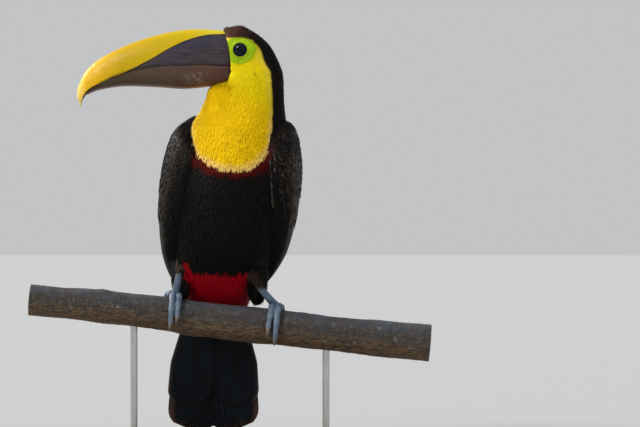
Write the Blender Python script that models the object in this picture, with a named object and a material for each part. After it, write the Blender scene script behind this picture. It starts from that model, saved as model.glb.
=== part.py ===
"""A yellow-throated toucan, life size, gripping a cut length of branch on a plain display stand.

Run it with blender --background --python part.py, or from Blender's text editor. Units are metres and
+Z is up. The bird's chest faces -Y and its head is turned to its right, so the bill points along -X.
The origin is on the underside of the stand's base. Left and right are the bird's own.
"""

import math

import bmesh
import bpy
from mathutils import Matrix, Vector

MM = 0.001  # the sizes below are in millimetres
GAP = 0.3  # air kept between pieces that touch
TAU = 2 * math.pi

# Body from the tail coverts to the crown, as level slices: height, the slice's reach to the bird's right,
# left, front and back, and how square it is. The last row is the middle of a dome's missing corners.
BODY = (
    (113, -40.0, 8.0, 30.5, 44.0, 2.0),
    (144, -46.0, 18.0, 11.0, 56.5, 2.1),
    (159, -50.0, 26.0, -3.0, 60.5, 2.1),
    (174, -55.5, 36.5, -18.5, 64.0, 2.0),
    (201, -61.0, 50.0, -42.0, 69.0, 2.0),
    (239, -63.0, 59.0, -55.0, 69.0, 2.0),
    (279, -59.0, 63.0, -57.0, 61.0, 2.0),
    (314, -48.5, 59.5, -52.0, 47.5, 2.0),
    (334, -32.5, 56.0, -45.5, 35.5, 2.0),
    (354, -24.5, 54.5, -37.0, 24.5, 2.1),
    (368, -11.0, 54.0, -31.5, 19.5, 2.3),
    (379, -1.5, 52.0, -30.0, 18.0, 2.4),
    (399, -1.5, 42.5, -27.0, 15.0, 2.4),
    (422.5, -16.0, 26.0, -22.0, 8.0, 2.2),
)
CROWN_DOME = 23.5  # height over which the top slices close
BODY_LEVELS, BODY_SIDES = 28, 22

# The yellow bib as a tube leaning out of the body: height, how far its middle is turned from the chest
# towards the bill, and how far it reaches round to each side of that, both in degrees.
BIB = (
    (275.5, -5, 0),
    (280, -4, 18),
    (291, -1, 34),
    (313, 4, 45),
    (329, 18, 60),
    (341, 38, 81),
    (354, 65, 105),
    (368, 84, 117),
    (388, 90, 107),
    (404, 90, 99),
    (409.5, 90, 84),
    (412.5, 90, 0),
)
BIB_LEAN = 0.45  # of the slice's own radius
BIB_LEVELS, BIB_SIDES = 20, 18
NECK_BASE_Z, CHIN_Z, VENT_Z = 322, 352, 173.5

# Profile of the bill in the head's middle plane: x, z from the gape to the tip.
HEAD_Y = -6.0
CULMEN = ((4, 417.5), (-40, 419.2), (-81, 411.4), (-118, 396.5), (-141.5, 380), (-152.3, 358), (-149.3, 342))
GAPE_LINE = ((5, 382), (-40, 383), (-80, 381), (-112, 373), (-137, 360.5), (-146.5, 350.5), (-148.7, 342))
GONYS = ((5, 365.5), (-20, 362), (-46, 359.8), (-75, 361.7), (-106, 362.3), (-130, 358.6), (-143.5, 353.5))
BILL_HALF_WIDTH = ((0, 18.6), (0.3, 17.8), (0.55, 14.5), (0.75, 10.2), (0.9, 4.6), (1, 0.9))
BILL_STATIONS, JAW_STATIONS = 17, 13
JAW_REACH = 0.77  # of the upper mandible's length
JAW_NARROWING = 0.35

# Bare face round the bill's base: how far each ring lies behind the bill's edge, and its swelling.
FACE_RINGS = ((0, 1.045), (3, 1.09), (9, 1.12), (17, 1.0), (26, 0.75))
FACE_HALF_WIDTH, FACE_HALF_HEIGHT, FACE_Z, FACE_SQUARE = 18.6, 27.5, 391.5, 2.3
FACE_EDGE_X, FACE_EDGE_BOW, FACE_EDGE_Z = 1.0, 0.0055, 385

EYE_X, EYE_Z, EYE_RADIUS = 10.7, 397.8, 8.5
EYE_SPREAD = 14.3  # from the head's middle plane to each eyeball's centre

# Folded wing: share of its length, then the body angles of its front and back edges, from the bird's flank.
WING_SPAN = (
    (0.0, -30, 34),
    (0.07, -44, 58),
    (0.18, -50, 72),
    (0.35, -46, 80),
    (0.66, -29, 84),
    (0.85, 0, 79),
    (1.0, 42, 54),
)
WING_TOP_Z = {"left": 326, "right": 332}
SHOULDER_TURN = {"left": 0, "right": 34}  # degrees that the top of the wing is drawn back
SHOULDER_SHARE = 0.22
WING_TIP_Z = 143
WING_THICK, WING_EDGE, WING_SEAT = 9.4, 0.7, 1.0  # the seat is its clearance from the body
WING_STATIONS, WING_STRIPS = 15, 9

# Tail of ten feathers, five each side, the outermost shortest and nearest the chest.
TAIL_X, TAIL_ROOT_Z, TAIL_ROOT_Y, TAIL_TIP_Y = -18.8, 150, 42.5, 54.0
TAIL_TIP_Z = (18.5, 19.0, 20.0, 23.0, 40.0)
TAIL_TIP_SPREAD = (9.5, 15.5, 21.5, 27.0, 31.0)
TAIL_ROOT_SPREAD = 13.0
FEATHER_HALF_WIDTH, FEATHER_THICK, FEATHER_STEP = 17.0, 1.5, 1.0
FEATHER_STATIONS = 8

# Branch: the axis falls to the bird's left and flattens towards its ends.
BRANCH_HALF = 200
BRANCH_Z, BRANCH_FALL, BRANCH_FLATTEN = 127.5, 0.122, 3.4e-7
BRANCH_RADIUS, BRANCH_GROW = 17.3, 0.006
BRANCH_RINGS = 21

# Legs. A front toe is: where it leaves the foot and where it ends along the branch, both from the foot's
# place on it, and how far round the branch it reaches in degrees. Hind toes are the same on the back.
LEGS = {
    "right": {
        "heel": (-48, -13, 181),
        "foot_x": -57,
        "front": ((-2.5, -0.5, 116), (3.5, 5.2, 93)),
        "hind": ((-5.0, -12.0, 70), (1.5, 3.5, 84)),
        "thigh": (-51, 3, 190),
    },
    "left": {
        "heel": (20, -14, 174),
        "foot_x": 42.5,
        "front": ((-2.5, -3.8, 96), (2.5, 4.2, 124)),
        "hind": ((-1.5, -4.0, 84), (4.5, 9.5, 72)),
        "thigh": (26.5, 4, 173),
    },
}
TARSUS_RADIUS = 3.3
TOE_RADIUS, TOE_SQUEEZE = 3.1, 0.25  # the pads give this much against the bark
CLAW_RADIUS, CLAW_WRAP, CLAW_ARCH = 1.9, 27, 1.2
THIGH_SIZE = (10.5, 18, 29)

BASE_SIZE, BASE_Y, BASE_CORNER, BASE_CHAMFER = (290, 164, 12), 10, 22, 1.5
ROD_X, ROD_RADIUS, ROD_SOCKET = 96, 3.5, 7

COLOURS = {  # base colour, roughness, metallic
    "black_plumage": ((0.012, 0.011, 0.010), 0.6, 0.0),
    "yellow_plumage": ((0.80, 0.56, 0.02), 0.6, 0.0),
    "red_plumage": ((0.28, 0.004, 0.010), 0.6, 0.0),
    "white_plumage": ((0.78, 0.74, 0.62), 0.6, 0.0),
    "bill_yellow": ((0.75, 0.50, 0.02), 0.3, 0.0),
    "bill_dark": ((0.055, 0.030, 0.022), 0.3, 0.0),
    "eye": ((0.010, 0.008, 0.008), 0.05, 0.0),
    "foot": ((0.14, 0.21, 0.29), 0.5, 0.0),
    "claw": ((0.045, 0.035, 0.030), 0.35, 0.0),
    "bark": ((0.10, 0.075, 0.05), 0.85, 0.0),
    "base_wood": ((0.05, 0.028, 0.016), 0.4, 0.0),
    "rod_steel": ((0.55, 0.54, 0.52), 0.3, 1.0),
}


def clear_scene():
    for obj in list(bpy.data.objects):
        bpy.data.objects.remove(obj, do_unlink=True)


def new_collection(name):
    made = bpy.data.collections.new(name)
    bpy.context.scene.collection.children.link(made)
    return made


def material(name):
    """The one material of this name, made the first time it is asked for."""
    made = bpy.data.materials.get(name)
    if made is None:
        colour, roughness, metallic = COLOURS[name]
        made = bpy.data.materials.new(name)
        made.use_nodes = True
        shader = made.node_tree.nodes["Principled BSDF"]
        shader.inputs["Base Color"].default_value = (*colour, 1)
        shader.inputs["Roughness"].default_value = roughness
        shader.inputs["Metallic"].default_value = metallic
    return made


# Numbers and curves


def read_table(table, at):
    """The other columns of table at this value of its first, on a smooth curve through its rows."""
    keys = [row[0] for row in table]
    at = min(max(at, keys[0]), keys[-1])
    i = max(j for j in range(len(keys) - 1) if keys[j] <= at)
    step = keys[i + 1] - keys[i]
    t = (at - keys[i]) / step

    def slope(j, column):
        low, high = max(j - 1, 0), min(j + 1, len(keys) - 1)
        return (table[high][column] - table[low][column]) / (keys[high] - keys[low])

    found = []
    for column in range(1, len(table[0])):
        start, end = table[i][column], table[i + 1][column]
        leave, arrive = slope(i, column) * step, slope(i + 1, column) * step
        found.append(
            start * (2 * t**3 - 3 * t**2 + 1)
            + leave * (t**3 - 2 * t**2 + t)
            + end * (3 * t**2 - 2 * t**3)
            + arrive * (t**3 - t**2)
        )
    return found


def along_line(points, share):
    """The point at this share of a line of points, on a smooth curve."""
    table = [(i / (len(points) - 1), *point) for i, point in enumerate(points)]
    return Vector(read_table(table, share))


def round_edge(share, width):
    """0 at an edge, rising as a quarter circle to 1 at this width from it."""
    return math.sqrt(max(0.0, 1 - (1 - min(share / width, 1)) ** 2))


def superellipse(angle, squareness):
    cosine, sine = math.cos(angle), math.sin(angle)
    power = 2 / squareness
    return math.copysign(abs(cosine) ** power, cosine), math.copysign(abs(sine) ** power, sine)


# Making, cutting and joining meshes


def mesh_object(name, bm, collection, material_name):
    bmesh.ops.recalc_face_normals(bm, faces=bm.faces)
    mesh = bpy.data.meshes.new(name)
    bm.to_mesh(mesh)
    bm.free()
    mesh.shade_smooth()
    mesh.set_sharp_from_angle(angle=math.radians(50))
    mesh.materials.append(material(material_name))
    obj = bpy.data.objects.new(name, mesh)
    collection.objects.link(obj)
    return obj


def loft(name, rings, collection, material_name):
    """One closed body through rings of equal count, with flat ends."""
    bm = bmesh.new()
    rows = [[bm.verts.new(Vector(point) * MM) for point in ring] for ring in rings]
    for low, high in zip(rows, rows[1:]):
        for k in range(len(low)):
            bm.faces.new((low[k - 1], low[k], high[k], high[k - 1]))
    bm.faces.new(rows[0])
    bm.faces.new(rows[-1])
    return mesh_object(name, bm, collection, material_name)


def evaluated_mesh(obj):
    bpy.context.view_layer.update()
    return bpy.data.meshes.new_from_object(obj.evaluated_get(bpy.context.evaluated_depsgraph_get()))


def tube(name, path, radii, resolution, collection, material_name):
    """A round bar along points, with a radius at each, from a bevelled curve."""
    curve = bpy.data.curves.new(name, "CURVE")
    curve.dimensions = "3D"
    curve.bevel_depth = MM
    curve.bevel_resolution = resolution
    curve.use_fill_caps = True
    spline = curve.splines.new("POLY")
    spline.points.add(len(path) - 1)
    for point, place, radius in zip(spline.points, path, radii):
        point.co = (*(place * MM), 1)
        point.radius = radius
    line = bpy.data.objects.new(name + "_line", curve)
    cutters.objects.link(line)
    bm = bmesh.new()
    bm.from_mesh(evaluated_mesh(line))
    bmesh.ops.remove_doubles(bm, verts=bm.verts, dist=1e-6)
    bpy.data.objects.remove(line, do_unlink=True)
    return mesh_object(name, bm, collection, material_name)


def ellipsoid(name, place, size, segments, rings, material_name):
    bm = bmesh.new()
    bmesh.ops.create_uvsphere(bm, u_segments=segments, v_segments=rings, radius=MM)
    bmesh.ops.transform(bm, matrix=Matrix.Diagonal((*size, 1)), verts=bm.verts)
    obj = mesh_object(name, bm, toucan, material_name)
    obj.location = Vector(place) * MM
    return obj


def hide(obj):
    obj.hide_render = True
    obj.display_type = "WIRE"
    return obj


def cutter_copy(obj, growth=0):
    """A hidden copy of a mesh object, its surface moved out by this much."""
    copy = obj.copy()
    copy.data = obj.data.copy()
    copy.name = obj.name + "_cutter"
    cutters.objects.link(copy)
    bm = bmesh.new()
    bm.from_mesh(copy.data)
    bm.normal_update()
    moved = [(vert, vert.co + vert.normal * growth * MM) for vert in bm.verts]
    for vert, place in moved:
        vert.co = place
    bm.to_mesh(copy.data)
    bm.free()
    return hide(copy)


def apply_boolean(obj, other, operation):
    """All meshes here are closed, as the manifold solver needs. The exact one loses most of the head."""
    modifier = obj.modifiers.new(operation, "BOOLEAN")
    modifier.operation = operation
    modifier.solver = "MANIFOLD"
    modifier.object = other
    mesh = evaluated_mesh(obj)
    obj.modifiers.remove(modifier)
    obj.data = mesh


def cut(obj, *others):
    """Takes each other object, grown by the gap, out of obj."""
    for other in others:
        apply_boolean(obj, cutter_copy(other, GAP), "DIFFERENCE")


def join(obj, *others):
    """Adds the other objects to obj as one body, and removes them."""
    for other in others:
        apply_boolean(obj, other, "UNION")
        bpy.data.objects.remove(other, do_unlink=True)


def sliced(name, source, planes, material_name):
    """A copy of source cut by planes, each a point and an outward normal, half the gap short of each."""
    bm = bmesh.new()
    bm.from_mesh(source.data)
    for point, normal in planes:
        outward = Vector(normal).normalized()
        cut_parts = bmesh.ops.bisect_plane(
            bm,
            geom=[*bm.verts, *bm.edges, *bm.faces],
            plane_co=(Vector(point) - outward * GAP / 2) * MM,
            plane_no=outward,
            clear_outer=True,
        )["geom_cut"]
        rim = [part for part in cut_parts if isinstance(part, bmesh.types.BMEdge)]
        bmesh.ops.triangle_fill(bm, use_beauty=True, use_dissolve=False, edges=rim)
    return mesh_object(name, bm, toucan, material_name)


# Body, neck and head


def body_slice(z):
    """Centre x and y, half width, half depth and squareness of the body at this height."""
    right, left, front, back, squareness = read_table(BODY, z)
    rise = max(0.0, z - (BODY[-1][0] - CROWN_DOME)) / CROWN_DOME
    closing = max(math.sqrt(max(0.0, 1 - rise**2)), 0.12)
    half_width, half_depth = (left - right) / 2 * closing, (back - front) / 2 * closing
    return (left + right) / 2, (front + back) / 2, half_width, half_depth, squareness


def body_point(z, degrees, out=0.0):
    """A point this far out of the body at this height. Degrees run from the bird's left to its back."""
    centre_x, centre_y, half_width, half_depth, squareness = body_slice(z)
    angle = math.radians(degrees)
    x, y = superellipse(angle, squareness)
    outward = Vector((half_depth * math.cos(angle), half_width * math.sin(angle), 0)).normalized()
    return Vector((centre_x + half_width * x, centre_y + half_depth * y, z)) + outward * out


def make_body():
    """The whole body from tail coverts to crown, with the face's flare round the bill, in one piece."""
    low, high = BODY[0][0], BODY[-1][0]
    rings = []
    for i in range(BODY_LEVELS):
        share = i / (BODY_LEVELS - 1)
        z = low + (high - low) * (share + 0.035 * math.sin(TAU * share))
        rings.append([body_point(z, 360 * k / BODY_SIDES) for k in range(BODY_SIDES)])
    body = loft("body", rings, cutters, "black_plumage")
    join(body, make_face())
    return body


def make_face():
    rings = []
    for behind, swelling in FACE_RINGS:
        ring = []
        for k in range(BODY_SIDES):
            across, rise = superellipse(TAU * k / BODY_SIDES, FACE_SQUARE)
            z = FACE_Z + FACE_HALF_HEIGHT * swelling * rise
            edge = FACE_EDGE_X - FACE_EDGE_BOW * (z - FACE_EDGE_Z) ** 2
            ring.append((edge + behind, HEAD_Y + FACE_HALF_WIDTH * swelling * across, z))
        rings.append(ring)
    return loft("face", rings, cutters, "yellow_plumage")


def make_bib(name, growth):
    """The tube that parts yellow from black, its radius changed by this growth."""
    rings = []
    low, high = BIB[0][0], BIB[-1][0]
    for i in range(BIB_LEVELS):
        z = low + (high - low) * i / (BIB_LEVELS - 1)
        turned, reach = read_table(BIB, z)
        centre_x, centre_y, half_width, half_depth, squareness = body_slice(z)
        way = math.radians(-90 - turned)
        centre_x += math.cos(way) * half_width * BIB_LEAN
        centre_y += math.sin(way) * half_depth * BIB_LEAN
        size = math.sqrt(1 + BIB_LEAN**2 - 2 * BIB_LEAN * math.cos(math.radians(reach)))
        ring = []
        for k in range(BIB_SIDES):
            x, y = superellipse(TAU * k / BIB_SIDES, squareness)
            out_x, out_y = half_width * size + growth, half_depth * size + growth
            ring.append((centre_x + x * out_x, centre_y + y * out_y, z))
        rings.append(ring)
    return hide(loft(name, rings, cutters, "yellow_plumage"))


def part_body(body):
    """Parts the body into head, crown, throat, nape, trunk and the coverts under and over the tail."""
    black, yellow = cutter_copy(body), cutter_copy(body)
    apply_boolean(black, make_bib("bib_outside", GAP / 2), "DIFFERENCE")
    apply_boolean(yellow, make_bib("bib_inside", -GAP / 2), "INTERSECT")
    up, down = (0, 0, 1), (0, 0, -1)
    chin, neck_base, vent = (0, 0, CHIN_Z), (0, 0, NECK_BASE_Z), (0, 0, VENT_Z)
    tail_root = (0, tail_y(TAIL_ROOT_Z) + FEATHER_STEP * len(TAIL_TIP_Z) / 2, TAIL_ROOT_Z)
    back = Vector((0, TAIL_ROOT_Z - TAIL_TIP_Z[0], TAIL_TIP_Y - TAIL_ROOT_Y))
    parts = {
        "head": sliced("head", yellow, [(chin, down)], "yellow_plumage"),
        "throat": sliced("throat", yellow, [(chin, up)], "yellow_plumage"),
        "crown": sliced("crown", black, [(chin, down)], "black_plumage"),
        "nape": sliced("nape", black, [(chin, up), (neck_base, down)], "black_plumage"),
        "trunk": sliced("trunk", black, [(neck_base, up), (vent, down)], "black_plumage"),
        "undertail_coverts": sliced(
            "undertail_coverts", body, [(vent, up), (tail_root, back)], "red_plumage"
        ),
        "uppertail_coverts": sliced(
            "uppertail_coverts", body, [(vent, up), (tail_root, -back)], "white_plumage"
        ),
    }
    bpy.data.objects.remove(body, do_unlink=True)
    return parts


# Bill and eyes


def mandible_ring(edge, ridge, half_width, steps, fullness, flare):
    """An arch from one cutting edge over the ridge to the other, in the plane of edge and ridge."""
    ring = []
    for k in range(steps + 1):
        angle = math.pi * k / steps
        rise = math.sin(angle) ** fullness
        across = math.cos(angle) * (1 - flare * rise)
        place = edge.lerp(ridge, rise)
        ring.append((place.x, HEAD_Y - across * half_width, place.y))
    return ring


def make_upper_bill():
    """Upper mandible: round over the culmen, widest at its cutting edge, drawn down into a hook."""
    rings = []
    for i in range(BILL_STATIONS):
        share = i / (BILL_STATIONS - 1)
        edge, ridge = along_line(GAPE_LINE, share), along_line(CULMEN, share)
        half_width = read_table(BILL_HALF_WIDTH, share)[0]
        rings.append(mandible_ring(edge, ridge, half_width, 8, 0.8, 0.12))
    return loft("bill_upper", rings, toucan, "bill_yellow")


def make_lower_bill():
    """Lower mandible: a trough-shaped jaw, a gap below the upper mandible, ending inside its hook."""
    rings = []
    for i in range(JAW_STATIONS):
        share = i / (JAW_STATIONS - 1)
        edge, ridge = along_line(GAPE_LINE, share * JAW_REACH), along_line(GONYS, share)
        edge += (ridge - edge).normalized() * 1.5 * GAP
        half_width = read_table(BILL_HALF_WIDTH, share * JAW_REACH)[0] * (0.97 - JAW_NARROWING * share**4)
        rings.append(mandible_ring(edge, ridge, half_width, 8, 0.75, 0.1))
    return loft("bill_lower", rings, toucan, "bill_dark")


def make_eyes():
    eyes = []
    for name, side in (("eye_left", -1), ("eye_right", 1)):
        place = (EYE_X, HEAD_Y + side * EYE_SPREAD, EYE_Z)
        eyes.append(ellipsoid(name, place, (EYE_RADIUS,) * 3, 12, 8, "eye"))
    return eyes


# Wings and tail


def make_wing(side):
    """A folded wing: a shell over the flank, thick at the shoulder and the leading edge, thin at its tip."""
    top_z = WING_TOP_Z[side]
    rings = []
    for i in range(WING_STATIONS):
        along = i / (WING_STATIONS - 1)
        z = top_z + (WING_TIP_Z - top_z) * along
        front, back = read_table(WING_SPAN, along)
        front += SHOULDER_TURN[side] * max(0.0, 1 - along / SHOULDER_SHARE) ** 1.5
        thickest = WING_THICK * round_edge(along, 0.1) * (1 - 0.5 * along**4)
        outer, inner = [], []
        for k in range(WING_STRIPS):
            across = k / (WING_STRIPS - 1)
            thick = thickest * round_edge(across, 0.2) * (1 - 0.75 * across**2)
            degrees = front + (back - front) * across
            if side == "right":
                degrees = 180 - degrees
            outer.append(body_point(z, degrees, WING_SEAT + max(thick, WING_EDGE)))
            inner.append(body_point(z, degrees, WING_SEAT))
        rings.append(outer + inner[::-1])
    return loft(f"wing_{side}", rings, toucan, "black_plumage")


def tail_y(z):
    return TAIL_ROOT_Y + (TAIL_TIP_Y - TAIL_ROOT_Y) * (TAIL_ROOT_Z - z) / (TAIL_ROOT_Z - TAIL_TIP_Z[0])


def make_tail_feather(pair, side):
    """One broad feather with a round tip, running from the tail's root. Pair 0 is the middle pair."""
    pairs = len(TAIL_TIP_Z)
    root_x = TAIL_ROOT_SPREAD * (pair + 0.5) / pairs
    rings = []
    for i in range(FEATHER_STATIONS):
        along = math.sin(math.pi / 2 * i / (FEATHER_STATIONS - 1))
        z = TAIL_ROOT_Z + (TAIL_TIP_Z[pair] - TAIL_ROOT_Z) * along
        middle = TAIL_X + side * (root_x + (TAIL_TIP_SPREAD[pair] - root_x) * math.sqrt(along))
        widening = 0.45 + 0.55 * min(along / 0.6, 1)
        half = FEATHER_HALF_WIDTH * widening * max(round_edge(1 - along, 0.15), 0.16)
        y = tail_y(z) + FEATHER_STEP * (pairs / 2 - pair - 0.25 * (side > 0))
        corners = ((-half, 0), (half, 0), (half, FEATHER_THICK), (-half, FEATHER_THICK))
        rings.append([(middle + across, y + deep, z) for across, deep in corners])
    return loft(f"tail_feather_{pair}_{side}", rings, cutters, "black_plumage")


def make_tail():
    tail, *others = [make_tail_feather(pair, side) for pair in range(len(TAIL_TIP_Z)) for side in (-1, 1)]
    join(tail, *others)
    cutters.objects.unlink(tail)
    toucan.objects.link(tail)
    tail.name = "tail"
    return tail


# Branch, legs and feet


def branch_z(x):
    return BRANCH_Z - BRANCH_FALL * x + BRANCH_FLATTEN * x**3


def branch_radius(x):
    return BRANCH_RADIUS + BRANCH_GROW * x + 0.35 * math.sin(x / 23) + 0.25 * math.sin(x / 11 + 1)


def make_branch():
    path = [Vector((x, 0, branch_z(x))) for x in spaced(-BRANCH_HALF, BRANCH_HALF, BRANCH_RINGS)]
    return tube("perch_branch", path, [branch_radius(place.x) for place in path], 5, toucan, "bark")


def spaced(start, end, count):
    return [start + (end - start) * i / (count - 1) for i in range(count)]


def on_bark(x, off_top, facing, out):
    """A point this far out of the bark, this many degrees round from the top. Facing 1 is the front."""
    slope = -BRANCH_FALL + 3 * BRANCH_FLATTEN * x**2
    upward = Vector((-slope, 0, 1)).normalized()
    angle = math.radians(off_top)
    way = upward * math.cos(angle) + Vector((0, -facing, 0)) * math.sin(angle)
    return Vector((x, 0, branch_z(x))) + way * (branch_radius(x) + out)


def make_toe(name, foot_x, start, end, wrap, facing):
    """A toe over the branch with swollen joints, and its arched claw."""
    out = TOE_RADIUS - TOE_SQUEEZE
    places, radii = [], []
    for s in spaced(0, 1, 8):
        places.append(on_bark(foot_x + start + (end - start) * s, wrap * s - 6, facing, out))
        radii.append(TOE_RADIUS * (1 - 0.13 * s + 0.07 * math.cos(3 * TAU * s)))
    toe = tube("toe_" + name, places, radii, 2, cutters, "foot")
    places, radii = [], []
    for s in spaced(0, 1, 5):
        arch = CLAW_ARCH * math.sin(math.pi * s) + out - 0.9 * s
        places.append(on_bark(foot_x + end, wrap - 4 + CLAW_WRAP * s, facing, arch))
        radii.append(CLAW_RADIUS * (1 - 0.82 * s))
    return toe, tube("claw_" + name, places, radii, 1, toucan, "claw")


def make_foot(side):
    """Tarsus and four toes as one body, and the claws, each on its own."""
    leg = LEGS[side]
    heel, sole = Vector(leg["heel"]), on_bark(leg["foot_x"], 0, 1, TOE_RADIUS + 0.5)
    path = [heel.lerp(sole, s) for s in spaced(0, 1, 6)]
    radii = [TARSUS_RADIUS * (1.25 - 0.3 * math.sin(math.pi * s)) for s in spaced(0, 1, 6)]
    foot = tube(f"foot_{side}", path, radii, 2, toucan, "foot")
    toes, claws = [], []
    for number, (start, end, wrap) in enumerate(leg["front"] + leg["hind"]):
        facing = 1 if number < len(leg["front"]) else -1
        toe, claw = make_toe(f"{side}_{number + 1}", leg["foot_x"], start, end, wrap, facing)
        toes.append(toe)
        claws.append(claw)
    join(foot, *toes)
    return foot, claws


# Stand


def make_base():
    bm = bmesh.new()
    bmesh.ops.create_cube(bm, size=MM)
    bmesh.ops.transform(bm, matrix=Matrix.Diagonal((*BASE_SIZE, 1)), verts=bm.verts)
    upright = [e for e in bm.edges if abs(e.verts[0].co.z - e.verts[1].co.z) > MM]
    bmesh.ops.bevel(bm, geom=upright, offset=BASE_CORNER * MM, segments=6, affect="EDGES", profile=0.5)
    rim = [e for e in bm.edges if all(v.co.z > BASE_SIZE[2] * MM * 0.49 for v in e.verts)]
    bmesh.ops.bevel(bm, geom=rim, offset=BASE_CHAMFER * MM, segments=1, affect="EDGES", profile=0.5)
    base = mesh_object("stand_base", bm, toucan, "base_wood")
    base.location = Vector((0, BASE_Y, BASE_SIZE[2] / 2)) * MM
    return base


def make_rod(name, x):
    """A straight rod, seated in the base below and in the branch above."""
    low = BASE_SIZE[2] - ROD_SOCKET
    high = branch_z(x) - branch_radius(x) + ROD_SOCKET
    radius, depth = ROD_RADIUS * MM, (high - low) * MM
    bm = bmesh.new()
    bmesh.ops.create_cone(bm, cap_ends=True, segments=16, radius1=radius, radius2=radius, depth=depth)
    rod = mesh_object(name, bm, toucan, "rod_steel")
    rod.location = Vector((x, 0, (low + high) / 2)) * MM
    return rod


def build():
    branch, base = make_branch(), make_base()
    whole_branch = cutter_copy(branch, GAP)
    rods = [make_rod("stand_rod_right", -ROD_X), make_rod("stand_rod_left", ROD_X)]
    cut(base, *rods)
    cut(branch, *rods)

    parts = part_body(make_body())
    flesh = (parts["trunk"], parts["undertail_coverts"])
    upper, lower = make_upper_bill(), make_lower_bill()
    eyes = make_eyes()
    cut(upper, *eyes)
    cut(parts["head"], upper, lower, *eyes)
    cut(parts["crown"], upper, *eyes)
    cut(parts["throat"], lower)
    tail = make_tail()
    for part in (*flesh, parts["uppertail_coverts"]):
        cut(part, tail)
    wings = {side: make_wing(side) for side in LEGS}
    for wing in wings.values():
        cut(wing, parts["trunk"], parts["nape"])
    for side, leg in LEGS.items():
        foot, claws = make_foot(side)
        apply_boolean(foot, whole_branch, "DIFFERENCE")
        for claw in claws:
            apply_boolean(claw, whole_branch, "DIFFERENCE")
            cut(claw, foot)
        thigh = ellipsoid(f"thigh_{side}", leg["thigh"], THIGH_SIZE, 12, 8, "black_plumage")
        cut(thigh, *flesh, wings[side])
        cut(foot, thigh, *flesh)


clear_scene()
toucan = new_collection("toucan")
cutters = new_collection("cutters")
cutters.hide_render = True
build()
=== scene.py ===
"""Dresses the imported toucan: skin, plumage, bill, eyes, feet, perch and stand, with a camera and soft light.

Lengths here are in millimetres, in the frame's own axes: the chest faces -Y, the bill points along -X,
and left and right are the bird's own.
"""

import math

import bmesh
import bpy
import numpy as np
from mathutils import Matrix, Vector
from mathutils.bvhtree import BVHTree


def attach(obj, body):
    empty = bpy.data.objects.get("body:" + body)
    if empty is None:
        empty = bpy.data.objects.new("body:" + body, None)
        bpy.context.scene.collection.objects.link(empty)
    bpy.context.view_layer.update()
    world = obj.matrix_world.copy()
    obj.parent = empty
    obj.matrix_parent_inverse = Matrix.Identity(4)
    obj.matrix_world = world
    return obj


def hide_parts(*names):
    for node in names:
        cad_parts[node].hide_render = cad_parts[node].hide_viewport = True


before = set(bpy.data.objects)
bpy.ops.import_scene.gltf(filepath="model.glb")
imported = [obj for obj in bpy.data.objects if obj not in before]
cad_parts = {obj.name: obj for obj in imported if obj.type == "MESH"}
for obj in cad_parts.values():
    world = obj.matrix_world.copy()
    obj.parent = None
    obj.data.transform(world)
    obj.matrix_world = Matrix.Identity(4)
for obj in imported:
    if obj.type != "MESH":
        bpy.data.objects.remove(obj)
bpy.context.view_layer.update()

MM = 0.001
TAU = 2 * math.pi
chance = np.random.default_rng(7)

# The part's own sizes. Body from the tail coverts to the crown, as level slices: height, the slice's
# reach to the bird's right, left, front and back, and how square it is.
BODY = (
    (113, -40.0, 8.0, 30.5, 44.0, 2.0),
    (144, -46.0, 18.0, 11.0, 56.5, 2.1),
    (159, -50.0, 26.0, -3.0, 60.5, 2.1),
    (174, -55.5, 36.5, -18.5, 64.0, 2.0),
    (201, -61.0, 50.0, -42.0, 69.0, 2.0),
    (239, -63.0, 59.0, -55.0, 69.0, 2.0),
    (279, -59.0, 63.0, -57.0, 61.0, 2.0),
    (314, -48.5, 59.5, -52.0, 47.5, 2.0),
    (334, -32.5, 56.0, -45.5, 35.5, 2.0),
    (354, -22.5, 54.5, -37.0, 24.5, 2.1),
    (368, -11.0, 54.0, -31.5, 19.5, 2.3),
    (379, -1.5, 52.0, -30.0, 18.0, 2.4),
    (399, -1.5, 42.5, -27.0, 15.0, 2.4),
    (422.5, -16.0, 26.0, -22.0, 8.0, 2.2),
)
CROWN_DOME = 23.5
# The yellow bib as a tube leaning out of the body: height, turn towards the bill, and reach to each side.
BIB = (
    (275.5, -5, 0),
    (280, -4, 18),
    (291, -1, 34),
    (313, 4, 45),
    (329, 18, 60),
    (341, 38, 81),
    (354, 65, 105),
    (368, 84, 117),
    (388, 90, 107),
    (404, 90, 99),
    (409.5, 90, 84),
    (412.5, 90, 0),
)
BIB_LEAN, BIB_TOP_Z, BIB_END_SOFT = 0.45, 415.2, 30
HEAD_Y = -6.0
# The bill's profile lines, as x and z, and its half width by share of its length.
CULMEN = ((4, 417.5), (-40, 419.2), (-81, 411.4), (-118, 396.5), (-141.5, 380), (-152.3, 358), (-149.3, 342))
GAPE_LINE = ((5, 382), (-40, 383), (-80, 381), (-112, 373), (-137, 360.5), (-146.5, 350.5), (-148.7, 342))
GONYS = ((5, 365.5), (-20, 362), (-46, 359.8), (-75, 361.7), (-106, 362.3), (-130, 358.6), (-143.5, 353.5))
BILL_HALF_WIDTH = ((0, 18.6), (0.3, 17.8), (0.55, 14.5), (0.75, 10.2), (0.9, 4.6), (1, 0.9))
JAW_REACH, JAW_NARROWING = 0.77, 0.35
# The face as rings: distance behind the bill, and swelling.
FACE_RINGS = ((0, 1.045), (3, 1.09), (9, 1.12), (17, 1.0), (26, 0.75))
FACE_HALF_WIDTH, FACE_HALF_HEIGHT, FACE_Z, FACE_SQUARE = 18.6, 27.5, 391.5, 2.3
FACE_EDGE_X, FACE_EDGE_BOW, FACE_EDGE_Z = 1.0, 0.0055, 385
EYE_X, EYE_Z, EYE_RADIUS, EYE_SPREAD = 10.7, 397.8, 8.5, 14.3
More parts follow.
